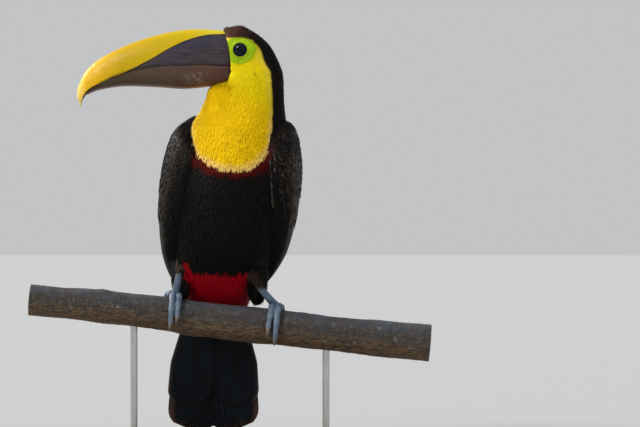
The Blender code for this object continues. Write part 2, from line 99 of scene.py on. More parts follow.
# A folded wing: share of its length, and the degrees round the body of its front and back edges.
WING_SPAN = (
    (0.0, -30, 34),
    (0.07, -44, 58),
    (0.18, -50, 72),
    (0.35, -46, 80),
    (0.66, -29, 84),
    (0.85, 0, 79),
    (1.0, 42, 54),
)
WING_TOP_Z, WING_TIP_Z = {"left": 326, "right": 332}, 143
SHOULDER_TURN, SHOULDER_SHARE = {"left": 0, "right": 34}, 0.22
WING_THICK, WING_EDGE, WING_SEAT = 9.4, 0.7, 1.0
# The tail, and its five pairs of feathers from the middle pair out.
TAIL_X, TAIL_ROOT_Z, TAIL_ROOT_Y, TAIL_TIP_Y = -18.8, 150, 42.5, 54.0
TAIL_TIP_Z = (15.0, 15.2, 16.0, 18.5, 40.0)
TAIL_TIP_SPREAD = (9.5, 16.5, 24.0, 29.5, 24.3)
TAIL_ROOT_SPREAD, RECTRIX_STEP = 14.5, 1.0
RECTRIX_HALF = (16.0, 17.0, 17.5, 18.0, 23.0)
# The branch's middle line falls to the bird's left, and flattens out by the cube of the distance.
BRANCH_HALF, BRANCH_Z, BRANCH_FALL, BRANCH_FLATTEN = 200, 127.5, 0.122, 3.4e-7
BRANCH_RADIUS, BRANCH_GROW = 17.3, 0.006
# Each toe runs from one place along the branch to another, and wraps this many degrees round it.
LEGS = {
    "right": {
        "heel": (-49.5, -7, 179),
        "feathered": 0.12,
        "foot_x": -57,
        "front": ((-2.5, -0.5, 116), (3.5, 5.2, 93)),
        "hind": ((-5.0, -12.0, 70), (1.5, 3.5, 84)),
        "thigh": (-48.0, 4, 178),
    },
    "left": {
        "heel": (20.0, -8, 173),
        "feathered": 0.40,
        "foot_x": 42.5,
        "front": ((-2.5, -3.8, 96), (2.5, 4.2, 124)),
        "hind": ((-1.5, -4.0, 84), (4.5, 9.5, 72)),
        "thigh": (26.5, 4, 173),
    },
}
TARSUS_RADIUS, LEG_BOW = 3.9, 3.5
TOE_RADIUS, TOE_SQUEEZE = 3.45, 0.25
CLAW_RADIUS, CLAW_WRAP, CLAW_ARCH = 1.95, 29, 1.3
THIGH_SIZE = (9.1, 11.5, 27)  # inside its plumage


# Numbers and curves, all on arrays


def read(table, at):
    """The other columns of table at these values of its first, on a smooth curve through its rows."""
    rows = np.array(table, float)
    keys, values = rows[:, 0], rows[:, 1:]
    at = np.clip(np.asarray(at, float), keys[0], keys[-1])
    i = np.clip(np.searchsorted(keys, at, side="right") - 1, 0, len(keys) - 2)
    order = np.arange(len(keys))
    low, high = np.maximum(order - 1, 0), np.minimum(order + 1, len(keys) - 1)
    slopes = (values[high] - values[low]) / (keys[high] - keys[low])[:, None]
    step = (keys[i + 1] - keys[i])[..., None]
    t = (at - keys[i])[..., None] / step
    found = (
        values[i] * (2 * t**3 - 3 * t**2 + 1)
        + slopes[i] * step * (t**3 - 2 * t**2 + t)
        + values[i + 1] * (3 * t**2 - 2 * t**3)
        + slopes[i + 1] * step * (t**3 - t**2)
    )
    return np.moveaxis(found, -1, 0)


def along_line(points, share):
    """Points at these shares of a line of points, on a smooth curve."""
    table = [(i / (len(points) - 1), *point) for i, point in enumerate(points)]
    return np.stack(read(table, share), -1)


def unit(vectors):
    return vectors / np.maximum(np.linalg.norm(vectors, axis=-1, keepdims=True), 1e-9)


def dot(a, b):
    return np.sum(a * b, axis=-1, keepdims=True)


def smooth_step(low, high, value):
    t = np.clip((value - low) / (high - low), 0, 1)
    return t * t * (3 - 2 * t)


def bell(value, width):
    """1 where value is 0, falling to either side over about this width."""
    return np.exp(-((value / width) ** 2))


def mix(a, b, share):
    """From colours or points a to b, by a share for each."""
    return np.asarray(a) + (np.asarray(b) - np.asarray(a)) * np.asarray(share)[..., None]


def superellipse(angle, squareness):
    cosine, sine = np.cos(angle), np.sin(angle)
    power = 2 / squareness
    return np.sign(cosine) * np.abs(cosine) ** power, np.sign(sine) * np.abs(sine) ** power


def superellipse_level(x, y, half_width, half_depth, squareness):
    """Below 1 inside a superellipse and above 1 outside it."""
    return (np.abs(x / half_width) ** squareness + np.abs(y / half_depth) ** squareness) ** (1 / squareness)


def round_edge(share, width):
    return np.sqrt(np.maximum(0.0, 1 - (1 - np.minimum(share / width, 1)) ** 2))


def noise(points, size, seed=0):
    """Smooth noise from -1 to 1, its features about this many millimetres across."""
    q = points / size + seed * 17.31 + 500
    cell = np.floor(q).astype(np.int64)
    part = q - cell
    part = part * part * (3 - 2 * part)
    total = np.zeros(points.shape[:-1])
    for corner in range(8):
        offset = np.array([(corner >> k) & 1 for k in range(3)])
        c = cell + offset
        mixed = (c[..., 0] * 73856093) ^ (c[..., 1] * 19349663) ^ (c[..., 2] * 83492791)
        mixed = ((mixed & 0xFFFFFFF) * 1274126177 >> 9) & 0xFFFF
        total += np.prod(np.where(offset, part, 1 - part), axis=-1) * (mixed / 32767.5 - 1)
    return total


def stacked(*parts):
    """Points or other rows from their separate numbers, spread to one shape."""
    return np.stack(np.broadcast_arrays(*parts), -1)


def half_turn(degrees):
    """The same turn, from -180 to 180."""
    return (degrees + 180) % 360 - 180


# Where the body, bib and wings lie


def body_slice(z):
    """Centre, half width, half depth and squareness of the body at these heights."""
    right, left, front, back, squareness = read(BODY, z)
    rise = np.maximum(0.0, z - (BODY[-1][0] - CROWN_DOME)) / CROWN_DOME
    closing = np.maximum(np.sqrt(np.maximum(0.0, 1 - rise**2)), 0.12)
    centre_x, centre_y = (left + right) / 2, (front + back) / 2
    return centre_x, centre_y, (left - right) / 2 * closing, (back - front) / 2 * closing, squareness


def body_point(z, degrees, out=0.0):
    """Points this far out of the body. Degrees run from the bird's left to its back."""
    z, degrees = np.broadcast_arrays(np.asarray(z, float), np.asarray(degrees, float))
    centre_x, centre_y, half_width, half_depth, squareness = body_slice(z)
    angle = np.radians(degrees)
    x, y = superellipse(angle, squareness)
    outward = unit(np.stack([half_depth * np.cos(angle), half_width * np.sin(angle), 0 * z], -1))
    place = np.stack([centre_x + half_width * x, centre_y + half_depth * y, z], -1)
    return place + outward * np.asarray(out)[..., None]


def body_degrees(points):
    """How far round the body these points lie, in degrees from its left towards its back."""
    centre_x, centre_y, half_width, half_depth, squareness = body_slice(points[..., 2])
    x, y = (points[..., 0] - centre_x) / half_width, (points[..., 1] - centre_y) / half_depth
    power = squareness / 2
    return np.degrees(np.arctan2(np.sign(y) * np.abs(y) ** power, np.sign(x) * np.abs(x) ** power))


def body_out(points):
    """Distance out of the body's own surface."""
    centre_x, centre_y, half_width, half_depth, squareness = body_slice(points[..., 2])
    x, y = points[..., 0] - centre_x, points[..., 1] - centre_y
    level = superellipse_level(x, y, half_width, half_depth, squareness)
    return np.hypot(x, y) * (1 - 1 / np.maximum(level, 1e-6))


def bib_level(points):
    """Below 1 inside the tube of the bib and above 1 outside it."""
    z = points[..., 2]
    turned, reach = read(BIB, z)
    centre_x, centre_y, half_width, half_depth, squareness = body_slice(z)
    way = np.radians(-90 - turned)
    x = points[..., 0] - centre_x - np.cos(way) * half_width * BIB_LEAN
    y = points[..., 1] - centre_y - np.sin(way) * half_depth * BIB_LEAN
    size = np.sqrt(1 + BIB_LEAN**2 - 2 * BIB_LEAN * np.cos(np.radians(reach)))
    beyond = np.maximum(BIB[0][0] - z, z - BIB[-1][0])
    level = superellipse_level(x, y, half_width, half_depth, squareness) / size
    return level + np.maximum(beyond, 0) / BIB_END_SOFT


def bib_distance(points):
    """Signed distance to the bib's edge, negative within the yellow."""
    level, step = bib_level(points) - 1, 0.5
    slope = np.stack([bib_level(points + step * np.eye(3)[k]) - 1 - level for k in range(3)], -1) / step
    steepness = np.maximum(np.linalg.norm(slope, axis=-1), 0.006)
    return np.maximum(level / steepness, points[..., 2] - BIB_TOP_Z)


def wing_edges(side, along):
    """Degrees round the body of a wing's front and back edges, at these shares of its length."""
    front, back = read(WING_SPAN, along)
    return front + SHOULDER_TURN[side] * np.maximum(0.0, 1 - along / SHOULDER_SHARE) ** 1.5, back


def wing_point(side, along, across, out=0.0):
    """Points of a wing's outer face: shares of its length from the shoulder and its width from the front."""
    along, across = np.broadcast_arrays(np.asarray(along, float), np.asarray(across, float))
    z = WING_TOP_Z[side] + (WING_TIP_Z - WING_TOP_Z[side]) * along
    front, back = wing_edges(side, along)
    thickest = WING_THICK * round_edge(along, 0.1) * (1 - 0.5 * along**4)
    thick = thickest * round_edge(across, 0.2) * (1 - 0.75 * across**2)
    degrees = front + (back - front) * across
    if side == "right":
        degrees = 180 - degrees
    return body_point(z, degrees, WING_SEAT + np.maximum(thick, WING_EDGE) + out)


def wing_place(side, points):
    """Where on a wing these points lie: shares of its length and width, beyond 0 to 1 outside it."""
    along = (points[..., 2] - WING_TOP_Z[side]) / (WING_TIP_Z - WING_TOP_Z[side])
    front, back = wing_edges(side, np.maximum(along, 0))
    degrees = body_degrees(points)
    if side == "right":
        degrees = half_turn(180 - degrees)
    return along, (degrees - front) / (back - front)


# Meshes from arrays


def pulled(items, key, width=1, kind=np.int32):
    """One property of all these vertices, edges, corners or faces, as an array with this many columns."""
    values = np.empty(len(items) * width, kind)
    items.foreach_get(key, values)
    return values.reshape(-1, width) if width > 1 else values


def new_mesh(name, points, faces):
    """A smooth mesh from points in millimetres and arrays of faces, each with its own corner count."""
    sizes = np.concatenate([np.full(len(part), part.shape[1]) for part in faces])
    starts = np.concatenate([[0], np.cumsum(sizes)[:-1]])
    mesh = bpy.data.meshes.new(name)
    mesh.vertices.add(len(points))
    mesh.loops.add(int(sizes.sum()))
    mesh.polygons.add(len(sizes))
    mesh.vertices.foreach_set("co", (points * MM).astype(np.float32).ravel())
    mesh.loops.foreach_set("vertex_index", np.concatenate([part.ravel() for part in faces]).astype(np.int32))
    mesh.polygons.foreach_set("loop_start", starts.astype(np.int32))
    mesh.update(calc_edges=True)
    mesh.shade_smooth()
    return mesh


def new_object(name, data):
    obj = bpy.data.objects.new(name, data)
    bpy.context.scene.collection.objects.link(obj)
    return obj


def grid_faces(rows, columns):
    """Quads of a grid of points whose columns join up in a ring."""
    i, k = np.meshgrid(np.arange(rows - 1), np.arange(columns), indexing="ij")
    a, b = i * columns + k, i * columns + (k + 1) % columns
    return np.stack([a, b, b + columns, a + columns], -1).reshape(-1, 4)


def loft_object(name, rings):
    """A closed body through rings of points, its ends flat fans."""
    rows, columns = rings.shape[:2]
    points = np.concatenate([rings.reshape(-1, 3), rings[0].mean(0)[None], rings[-1].mean(0)[None]])
    low, k, last_ring = rows * columns, np.arange(columns), (rows - 1) * columns
    first = np.stack([np.full(columns, low), (k + 1) % columns, k], -1)
    last = np.stack([np.full(columns, low + 1), last_ring + k, last_ring + (k + 1) % columns], -1)
    return new_object(name, new_mesh(name, points, [grid_faces(rows, columns), first, last]))


def face_out(obj):
    """Turns every face of a closed mesh outwards."""
    bm = bmesh.new()
    bm.from_mesh(obj.data)
    bmesh.ops.recalc_face_normals(bm, faces=bm.faces)
    bm.to_mesh(obj.data)
    bm.free()
    return obj


def points_of(mesh):
    return pulled(mesh.vertices, "co", 3, np.float32).astype(float) / MM


def normals_of(mesh):
    return pulled(mesh.vertices, "normal", 3, np.float32).astype(float)


def edges_of(mesh):
    return pulled(mesh.edges, "vertices", 2)


def set_points(mesh, points):
    mesh.vertices.foreach_set("co", (points * MM).astype(np.float32).ravel())
    mesh.update()


def set_vectors(mesh, name, values):
    """An attribute that the mesh's material reads, three numbers for each point."""
    layer = mesh.attributes.new(name, "FLOAT_VECTOR", "POINT")
    layer.data.foreach_set("vector", values.astype(np.float32).ravel())


def set_tint(mesh, colours):
    layer = mesh.attributes.new("tint", "FLOAT_COLOR", "POINT")
    layer.data.foreach_set("color", np.concatenate([colours, np.ones((len(colours), 1))], 1).ravel())


def put_on(obj, material, slot, *nodes):
    """Gives a piece its material on the part's one body, in place of these solids. Its slot is not used."""
    obj.data.materials.append(material)
    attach(obj, "root")
    if nodes:
        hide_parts(*nodes)


# Skin: one closed surface under the plumage, from the body, the face, the thighs and the wings

FLESH = ("head", "throat", "crown", "nape", "trunk", "undertail_coverts", "uppertail_coverts")
FLESH += ("thigh_left", "thigh_right", "wing_left", "wing_right")
# How deep the coat lies over the skin: by height, on the wings, at the crown's top and on the lower legs.
COAT_DEPTH = ((110, 3.0), (180, 3.2), (300, 3.2), (345, 2.4), (370, 1.5), (395, 1.2), (415, 1.6), (423, 2.0))
WING_COAT, CROWN_COAT, TIBIA_COAT = 2.6, 1.6, (1.2, 1.4)
WING_MASS_DEEP = 5.0  # how far into the body the wings' masses reach
BARE_REACH, FEATHERED_REACH = 11.5, 17.0  # from an eye's axis: bare skin, and full plumage
HEAD_END_X = 45
SKIN_VOXEL, FOOT_VOXEL = 1.5, 0.55
# The lower corner of the bill's base: the chin's height, and the corner's top, depth and half width.
CHIN_Z, CORNER_TOP_Z, CORNER_DEEP, CORNER_HALF_WIDTH = 363, 382, 19, 18.2
THROAT_FORWARD = 3.4
LID_RADIUS, LID_WIDTH, LID_HEIGHT = 6.5, 1.6, 1.0
LID_FOLD, EYE_TUCK = 0.16, 3.5


def eye_distance(points):
    """Distance from the nearer eye's axis, which runs across the head."""
    away = np.hypot(points[..., 0] - EYE_X, points[..., 2] - EYE_Z)
    return away + np.where(points[..., 0] < HEAD_END_X, 0, 99)


def face_edge_x(z):
    return FACE_EDGE_X - FACE_EDGE_BOW * (z - FACE_EDGE_Z) ** 2


def coat_depth(points):
    """How thick the coat is here: nothing on the bare skin round the eyes and at the bill."""
    z = points[..., 2]
    head = smooth_step(352, 372, z)
    bare = smooth_step(BARE_REACH - 2, FEATHERED_REACH + 3, eye_distance(points))
    bill = smooth_step(1.0, 9.0, points[..., 0] - face_edge_x(z))
    chin = smooth_step(367, 361, z)
    return read(COAT_DEPTH, z)[0] * (1 - head * (1 - bare * np.maximum(bill, chin)))


def body_mass():
    z = np.linspace(BODY[0][0], BODY[-1][0], 220)[:, None]
    degrees = np.linspace(0, 360, 150, endpoint=False)[None]
    surface = body_point(z, degrees)
    rings = body_point(z, degrees, -coat_depth(surface))
    rings[-1, :, 2] -= coat_depth(surface[-1]).mean()
    rings[:, :, 2] = np.minimum(rings[:, :, 2], BODY[-1][0] - CROWN_COAT)
    return loft_object("body_mass", rings)


def face_mass():
    behind, swelling = np.array(FACE_RINGS, float).T
    at = np.linspace(0, 1, len(behind))
    rings = []
    for share in np.linspace(0, 1, 30):
        size = read(list(zip(at, swelling)), np.array(share))[0]
        across, rise = superellipse(np.linspace(0, TAU, 90, endpoint=False), FACE_SQUARE)
        z = FACE_Z + FACE_HALF_HEIGHT * size * rise
        x = face_edge_x(z) + np.interp(share, at, behind)
        ring = np.stack([x, HEAD_Y + FACE_HALF_WIDTH * size * across, z], -1)
        outward = unit((ring - (x.mean(), HEAD_Y, FACE_Z)) * (0, 1, 1))
        rings.append(ring - outward * coat_depth(ring)[:, None])
    return loft_object("face_mass", np.array(rings))


def wing_mass(side):
    along, across = np.linspace(0.004, 0.97, 120)[:, None], np.linspace(0, 1, 60)[None]
    front = wing_point(side, along, across, -WING_COAT)
    deep = body_point(front[..., 2], body_degrees(front), -WING_MASS_DEEP)
    return loft_object(f"wing_mass_{side}", np.concatenate([front, deep[:, ::-1]], axis=1))


def ball_grid(rows, columns, gap):
    """Angles down from a ball's pole, and its points at each, all the way round. gap keeps off the poles."""
    tilt = np.linspace(gap, math.pi - gap, rows)[:, None]
    turn = np.linspace(0, TAU, columns, endpoint=False)[None]
    return tilt, stacked(np.sin(tilt) * np.cos(turn), np.sin(tilt) * np.sin(turn), np.cos(tilt))


def thigh_mass(side):
    return loft_object(f"thigh_mass_{side}", LEGS[side]["thigh"] + ball_grid(40, 60, 0.02)[1] * THIGH_SIZE)


def shank_path(leg, s):
    """Centre line of a leg's shank, from the heel to the sole, bowed a little forwards."""
    heel = np.array(leg["heel"], float)
    sole = branch_point(np.array([leg["foot_x"]], float), np.zeros(1), np.array([TOE_RADIUS + 0.5]))[0]
    return heel + (sole - heel) * s[:, None] - np.array([0.0, LEG_BOW, 0.0]) * np.sin(math.pi * s)[:, None]


def tibia_mass(side):
    s = np.linspace(0, LEGS[side]["feathered"], 12)
    radii = np.linspace(*(TARSUS_RADIUS - coat for coat in TIBIA_COAT), len(s))
    return loft_object(f"tibia_mass_{side}", tube_rings(shank_path(LEGS[side], s), radii, 24))


def remeshed(parts, voxel, name):
    """One closed mesh round all these closed parts, which are removed."""
    points, faces, base = [], [], 0
    for part in parts:
        mesh = face_out(part).data
        mesh.calc_loop_triangles()
        points.append(points_of(mesh))
        faces.append(pulled(mesh.loop_triangles, "vertices", 3) + base)
        base += len(points[-1])
    obj = new_object(name, new_mesh(name, np.concatenate(points), [np.concatenate(faces)]))
    for part in parts:
        bpy.data.objects.remove(part, do_unlink=True)
    remesh = obj.modifiers.new("remesh", "REMESH")
    remesh.mode = "VOXEL"
    remesh.voxel_size = voxel * MM
    bpy.context.view_layer.update()
    obj.data = bpy.data.meshes.new_from_object(obj.evaluated_get(bpy.context.evaluated_depsgraph_get()))
    obj.modifiers.clear()
    return obj


def relaxed(mesh, rounds):
    """A mesh's points drawn towards their neighbours' middle, there and back so that it keeps its size."""
    points = points_of(mesh)
    low, high = edges_of(mesh).T
    size = len(points)
    count = (np.bincount(low, minlength=size) + np.bincount(high, minlength=size))[:, None]
    for step in range(rounds):
        total = [np.bincount(low, p[high], size) + np.bincount(high, p[low], size) for p in points.T]
        points = points + (np.stack(total, -1) / count - points) * (0.5 if step % 2 == 0 else -0.45)
    return points


def shape_lids(points, normals):
    """Raises a ring of lid round each eye, tucks the skin in under the eyeball, and wrinkles bare skin."""
    away = eye_distance(points)
    out = points[:, 1] - HEAD_Y
    near = (away < 24) & (np.abs(out) > 9)
    ring = bell(away - LID_RADIUS - LID_WIDTH / 2, LID_WIDTH) * LID_HEIGHT
    angle = np.arctan2(points[:, 2] - EYE_Z, points[:, 0] - EYE_X)
    folds = np.sin(away * 3.4 + 1.3 * np.sin(angle * 3) + 0.8 * np.sin(angle * 7)) * LID_FOLD
    folds = folds * smooth_step(8.5, 10, away) * (1 - smooth_step(14, 19, away))
    tuck = -EYE_TUCK * (1 - smooth_step(LID_RADIUS - 1.6, LID_RADIUS, away))
    moved = points + normals * (ring + folds)[:, None] * near[:, None]
    moved[:, 1] += np.where(near, tuck * np.sign(out), 0)
    return moved


def refine_near_eyes(mesh):
    """Halves the skin's faces near the eyes twice, for the lids and folds."""
    bm = bmesh.new()
    bm.from_mesh(mesh)
    for reach in (24, 19):
        middles = [(edge, (edge.verts[0].co + edge.verts[1].co) / 2 / MM) for edge in bm.edges]
        near = [e for e, m in middles if m.x < HEAD_END_X and math.hypot(m.x - EYE_X, m.z - EYE_Z) < reach]
        bmesh.ops.subdivide_edges(bm, edges=near, cuts=1, use_grid_fill=True)
    bm.to_mesh(mesh)
    bm.free()


def tucked(points):
    """Draws the chin's skin in beside the lower corner of the bill's base, which stands clear of it."""
    x, y, z = points.T
    behind = x - face_edge_x(np.maximum(z, CHIN_Z))
    down = np.clip((CORNER_TOP_Z - z) / CORNER_DEEP, 0, 1)
    side_of_bill = CORNER_HALF_WIDTH * (1 - down**4) ** 0.35 * (1 - 0.1 * down) - 1.8
    reach = np.maximum(side_of_bill, 8.8) + 0.85 * np.maximum(CHIN_Z - z, 0)
    reach = reach + 5.2 * np.sqrt(np.maximum(behind + 0.2, 0))
    out = np.abs(y - HEAD_Y)
    soft = np.maximum(2.0 - np.abs(out - reach), 0) / 2.0
    held = np.minimum(out, reach) - 0.5 * soft**2
    share = smooth_step(382, 379, z) * smooth_step(336, 342, z)
    throat = smooth_step(349, 360, z) * smooth_step(366, 363, z) * smooth_step(-4, -14, x)
    return np.stack([x - THROAT_FORWARD * throat, y + np.sign(y - HEAD_Y) * (held - out) * share, z], -1)


def unwrap(obj):
    """Lays the skin out flat as its OFBake map."""
    obj.data.uv_layers.new(name="OFBake")
    bpy.ops.object.select_all(action="DESELECT")
    obj.select_set(True)
    bpy.context.view_layer.objects.active = obj
    bpy.ops.object.mode_set(mode="EDIT")
    bpy.ops.mesh.select_all(action="SELECT")
    bpy.ops.uv.smart_project(angle_limit=math.radians(66), island_margin=0.002)
    bpy.ops.object.mode_set(mode="OBJECT")


def make_skin():
    parts = [body_mass(), face_mass()]
    for side in LEGS:
        parts += [wing_mass(side), thigh_mass(side), tibia_mass(side)]
    skin = remeshed(parts, SKIN_VOXEL, "skin")
    mesh = skin.data
    set_points(mesh, tucked(relaxed(mesh, 12)))
    refine_near_eyes(mesh)
    set_points(mesh, relaxed(mesh, 2))
    set_points(mesh, shape_lids(points_of(mesh), normals_of(mesh)))
    mesh.shade_smooth()
    unwrap(skin)
    set_tint(mesh, tint_of(points_of(mesh)))
    put_on(skin, skin_material(), "black_plumage", *FLESH)
    return mesh


# Markings, the same on skin and coat

# The third colour is the forehead's maroon-brown, lightened as a painted sunlit highlight.
BLACK, MAROON, FOREHEAD_BROWN_HIGHLIGHT = (0.0038, 0.0035, 0.0029), (0.0105, 0.0046, 0.0036), (0.098, 0.042, 0.028)
YELLOW, LEMON, CREAM = (0.87, 0.56, 0.0010), (0.76, 0.60, 0.0012), (0.88, 0.60, 0.20)
LIME, LID_DARK, SPOT_BROWN = (0.30, 0.44, 0.0015), (0.008, 0.010, 0.014), (0.30, 0.16, 0.01)
TIBIA_BROWN, BAND_RED = (0.036, 0.021, 0.016), (0.080, 0.0028, 0.0018)
VENT_RED, RUMP_WHITE = (0.29, 0.0004, 0.0060), (0.80, 0.75, 0.62)
BAND_WIDTH = 4.4
# The red's reach under the tail, and how far back it begins to spread round the sides.
RED_RIGHT, RED_LEFT, RED_SIDES_Y = -44.5, 19.0, 24
RUMP_TOP_Z = 179
THROAT_SPOT = (26.0, 373.0)
EYE_RING = (16.5, 13.5)  # half width and height of the green skin


def vent_z(x):
    """Height of the line between the black belly and the red undertail coverts."""
    return 173 + 10 * smooth_step(-32, -40, x)


def tail_y(z):
    return TAIL_ROOT_Y + (TAIL_TIP_Y - TAIL_ROOT_Y) * (TAIL_ROOT_Z - z) / (TAIL_ROOT_Z - TAIL_TIP_Z[0])


def tibia_distance(points):
    """Distance from the lines of the two feathered lower legs."""
    nearest = np.full(points.shape[:-1], 99.0)
    for leg in LEGS.values():
        for place in shank_path(leg, np.linspace(0, leg["feathered"], 7)):
            nearest = np.minimum(nearest, np.linalg.norm(points - place, axis=-1))
    return nearest


def dark_tint(points, edge, ragged):
    """Black plumage with its maroon, a maroon-brown forehead with a painted sunlit highlight, red band, brown
    lower legs, red vent and white rump.
    """
    x, y, z = np.moveaxis(points, -1, 0)
    dark = mix(BLACK, MAROON, smooth_step(235, 330, z) * (0.35 + 0.4 * smooth_step(-10, 25, y)))
    # A maroon-brown forehead, lightened further with a painted sunlit highlight on the front of the crown.
    dark = mix(dark, FOREHEAD_BROWN_HIGHLIGHT, bell(np.maximum(x - 2, 0), 16) * smooth_step(404, 414, z) * 0.8)
    reach = BAND_WIDTH + 1.8 * smooth_step(10, 28, np.abs(x - 4))
    band_top = z + 8 * smooth_step(0, -30, x) + ragged
    band = smooth_step(reach + 2.5, reach - 3, edge + ragged) * smooth_step(303, 290, band_top)
    dark = mix(dark, BAND_RED, band)
    dark = mix(dark, TIBIA_BROWN, smooth_step(4.7, 3.7, tibia_distance(points)) * 0.9)
    inside = np.minimum(x - RED_RIGHT, RED_LEFT - x) + np.maximum(y - RED_SIDES_Y, 0)
    red = smooth_step(1.5, -1.5, z - vent_z(x) + ragged * 1.5) * smooth_step(-1.0, 1.0, inside + ragged)
    dark = mix(dark, VENT_RED, red)
    degrees = body_degrees(points)
    rear = smooth_step(56, 70, np.minimum(degrees, 180 - degrees)) * smooth_step(0, 5, y - tail_y(z) - 3)
    return mix(dark, RUMP_WHITE, rear * smooth_step(RUMP_TOP_Z + 4, RUMP_TOP_Z - 4, z + ragged))


def light_tint(points, edge):
    """Yellow plumage and skin, paler at the bib's edge, green and then dark round the eye."""
    x, y, z = np.moveaxis(points, -1, 0)
    away = eye_distance(points)
    light = mix(YELLOW, LEMON, smooth_step(330, 385, z + 0.6 * x))
    cream_reach = 1.0 + 2.0 * smooth_step(310, 285, z)
    cream = smooth_step(-cream_reach - 2.5, -0.5, edge) * (0.15 + 0.65 * smooth_step(345, 300, z))
    light = mix(light, CREAM, cream)
    ring = np.hypot((x - EYE_X) / EYE_RING[0], (z - EYE_Z + 0.5) / EYE_RING[1])
    light = mix(light, LIME, smooth_step(1.16, 0.88, ring + 0.06 * noise(points, 5, 5)) * (away < 60))
    light = mix(light, LID_DARK, smooth_step(LID_RADIUS + 0.9, LID_RADIUS + 0.3, away))
    spot = bell(np.hypot(x - THROAT_SPOT[0], z - THROAT_SPOT[1]), 1.5) * (y < HEAD_Y)
    return mix(light, SPOT_BROWN, 0.7 * spot)


def tint_of(points):
    """Colour of the plumage and skin at these points."""
    x, z = points[..., 0], points[..., 2]
    ragged = noise(points, 6, 1) * 1.2 + noise(points, 2.5, 2) * 0.6
    ragged = ragged * (1 - 0.6 * smooth_step(315, 350, z))
    edge = bib_distance(points) + ragged * 0.5 + 1.4 * smooth_step(300, 286, z)
    edge = edge + 1.0 * smooth_step(398, 384, z) * smooth_step(16, 32, x)
    mottle = 1 + 0.10 * noise(points, 14, 3) + 0.05 * noise(points, 4, 4)
    colours = mix(dark_tint(points, edge, ragged), light_tint(points, edge), smooth_step(0.5, -0.5, edge))
    return np.clip(colours * mottle[..., None], 0, 1)


# Materials


class Shader:
    """A new Principled material, with short ways to add nodes and feed them."""

    def __init__(self, name, **settings):
        self.material = bpy.data.materials.new(name)
        self.material.use_nodes = True
        self.tree = self.material.node_tree
        self.set(**settings)

    def set(self, **settings):
        """Feeds the Principled shader's own inputs."""
        for key, value in settings.items():
            self.feed(self.tree.nodes["Principled BSDF"].inputs[key.replace("_", " ")], value)

    def feed(self, socket, value):
        if isinstance(value, bpy.types.NodeSocket):
            self.tree.links.new(value, socket)
        elif isinstance(value, tuple) and len(value) < len(socket.default_value):
            socket.default_value = (*value, 1)
        else:
            socket.default_value = value

    def node(self, kind, inputs, **settings):
        """A new node with its settings, its inputs set to values or linked to other nodes' outputs."""
        made = self.tree.nodes.new("ShaderNode" + kind)
        for key, value in settings.items():
            setattr(made, key, value)
        for key, value in inputs.items():
            self.feed(made.inputs[key], value)
        return made.outputs

    def place(self, *scale):
        """The object's own coordinates, stretched by this scale."""
        at = self.node("TexCoord", {})["Object"]
        return self.node("Mapping", {"Vector": at, "Scale": scale})[0] if scale else at

    def attribute(self, name, kind="Vector"):
        return self.node("Attribute", {}, attribute_name=name)[kind]

    def split(self, vector):
        return tuple(self.node("SeparateXYZ", {0: vector}))

    def noise(self, at, scale, detail=3.0, roughness=0.5, distortion=0.0):
        inputs = {"Vector": at, "Scale": scale, "Detail": detail, "Roughness": roughness}
        return self.node("TexNoise", {**inputs, "Distortion": distortion})[0]

    def cells(self, at, scale, feature="F1"):
        return self.node("TexVoronoi", {"Vector": at, "Scale": scale}, feature=feature)["Distance"]

    def math(self, operation, *values):
        return self.node("Math", dict(enumerate(values)), operation=operation)[0]

    def times(self, *values):
        return self.math("MULTIPLY", *values)

    def ranged(self, value, low, high, to_low=0.0, to_high=1.0):
        inputs = {"Value": value, "From Min": low, "From Max": high, "To Min": to_low, "To Max": to_high}
        return self.node("MapRange", inputs)[0]

    def mixed(self, share, first, second):
        """Two colours mixed. share is a number's output, or that with the arguments that range it."""
        share = self.ranged(*share) if isinstance(share, tuple) else share
        return self.node("Mix", {0: share, 6: first, 7: second}, data_type="RGBA")[2]

    def ramp(self, value, *stops):
        """A colour ramp through stops of place and colour."""
        outputs = self.node("ValToRGB", {"Fac": value})
        elements = outputs[0].node.color_ramp.elements
        while len(elements) < len(stops):
            elements.new(0.5)
        for element, (place, colour) in zip(elements, stops):
            element.position, element.color = place, (*colour, 1)
        return outputs["Color"]

    def scaled(self, vector, share):
        return self.node("VectorMath", {0: vector, "Scale": share}, operation="SCALE")[0]

    def bump(self, height, strength, distance):
        self.set(Normal=self.node("Bump", {"Height": height, "Strength": strength, "Distance": distance})[0])


def plumage_material(name, roughness, sheen, sheen_tint, subsurface=0.0):
    """Feather: the tint, streaked along the barbs, which the vane attribute places."""
    shader = Shader(name, Roughness=roughness, Specular_IOR_Level=0.07)
    shader.set(Sheen_Weight=sheen, Sheen_Roughness=0.35, Sheen_Tint=sheen_tint)
    shader.set(Subsurface_Weight=subsurface, Subsurface_Radius=(1.0, 0.6, 0.2), Subsurface_Scale=0.002)
    across, along, which = shader.split(shader.attribute("vane"))
    slant = shader.math("MULTIPLY_ADD", shader.math("ABSOLUTE", across), -1.1, along)
    barbs = shader.noise(shader.node("CombineXYZ", {"X": slant, "Y": which})[0], 1.6, 3.0, 0.65)
    tone = shader.ranged(barbs, 0.25, 0.75, 0.85, 1.15)
    shader.set(Base_Color=shader.scaled(shader.attribute("tint", "Color"), tone))
    shader.bump(barbs, 0.2, 0.0002)
    return shader.material


def skin_material():
    """Skin: the same tint, with fine folds and pores."""
    shader = Shader("skin", Roughness=0.55, Specular_IOR_Level=0.14, Subsurface_Weight=0.08)
    shader.set(Subsurface_Radius=(1.0, 0.7, 0.2), Subsurface_Scale=0.0015)
    folds = shader.noise(shader.place(), 500.0)
    tone = shader.ranged(folds, 0.3, 0.7, 0.8, 1.15)
    shader.set(Base_Color=shader.scaled(shader.attribute("tint", "Color"), tone))
    shader.bump(shader.math("ADD", shader.cells(shader.place(), 1400.0), folds), 0.3, 0.0003)
    return shader.material


# Plumage: small vanes rooted on the skin, marched along it with the lie of the coat

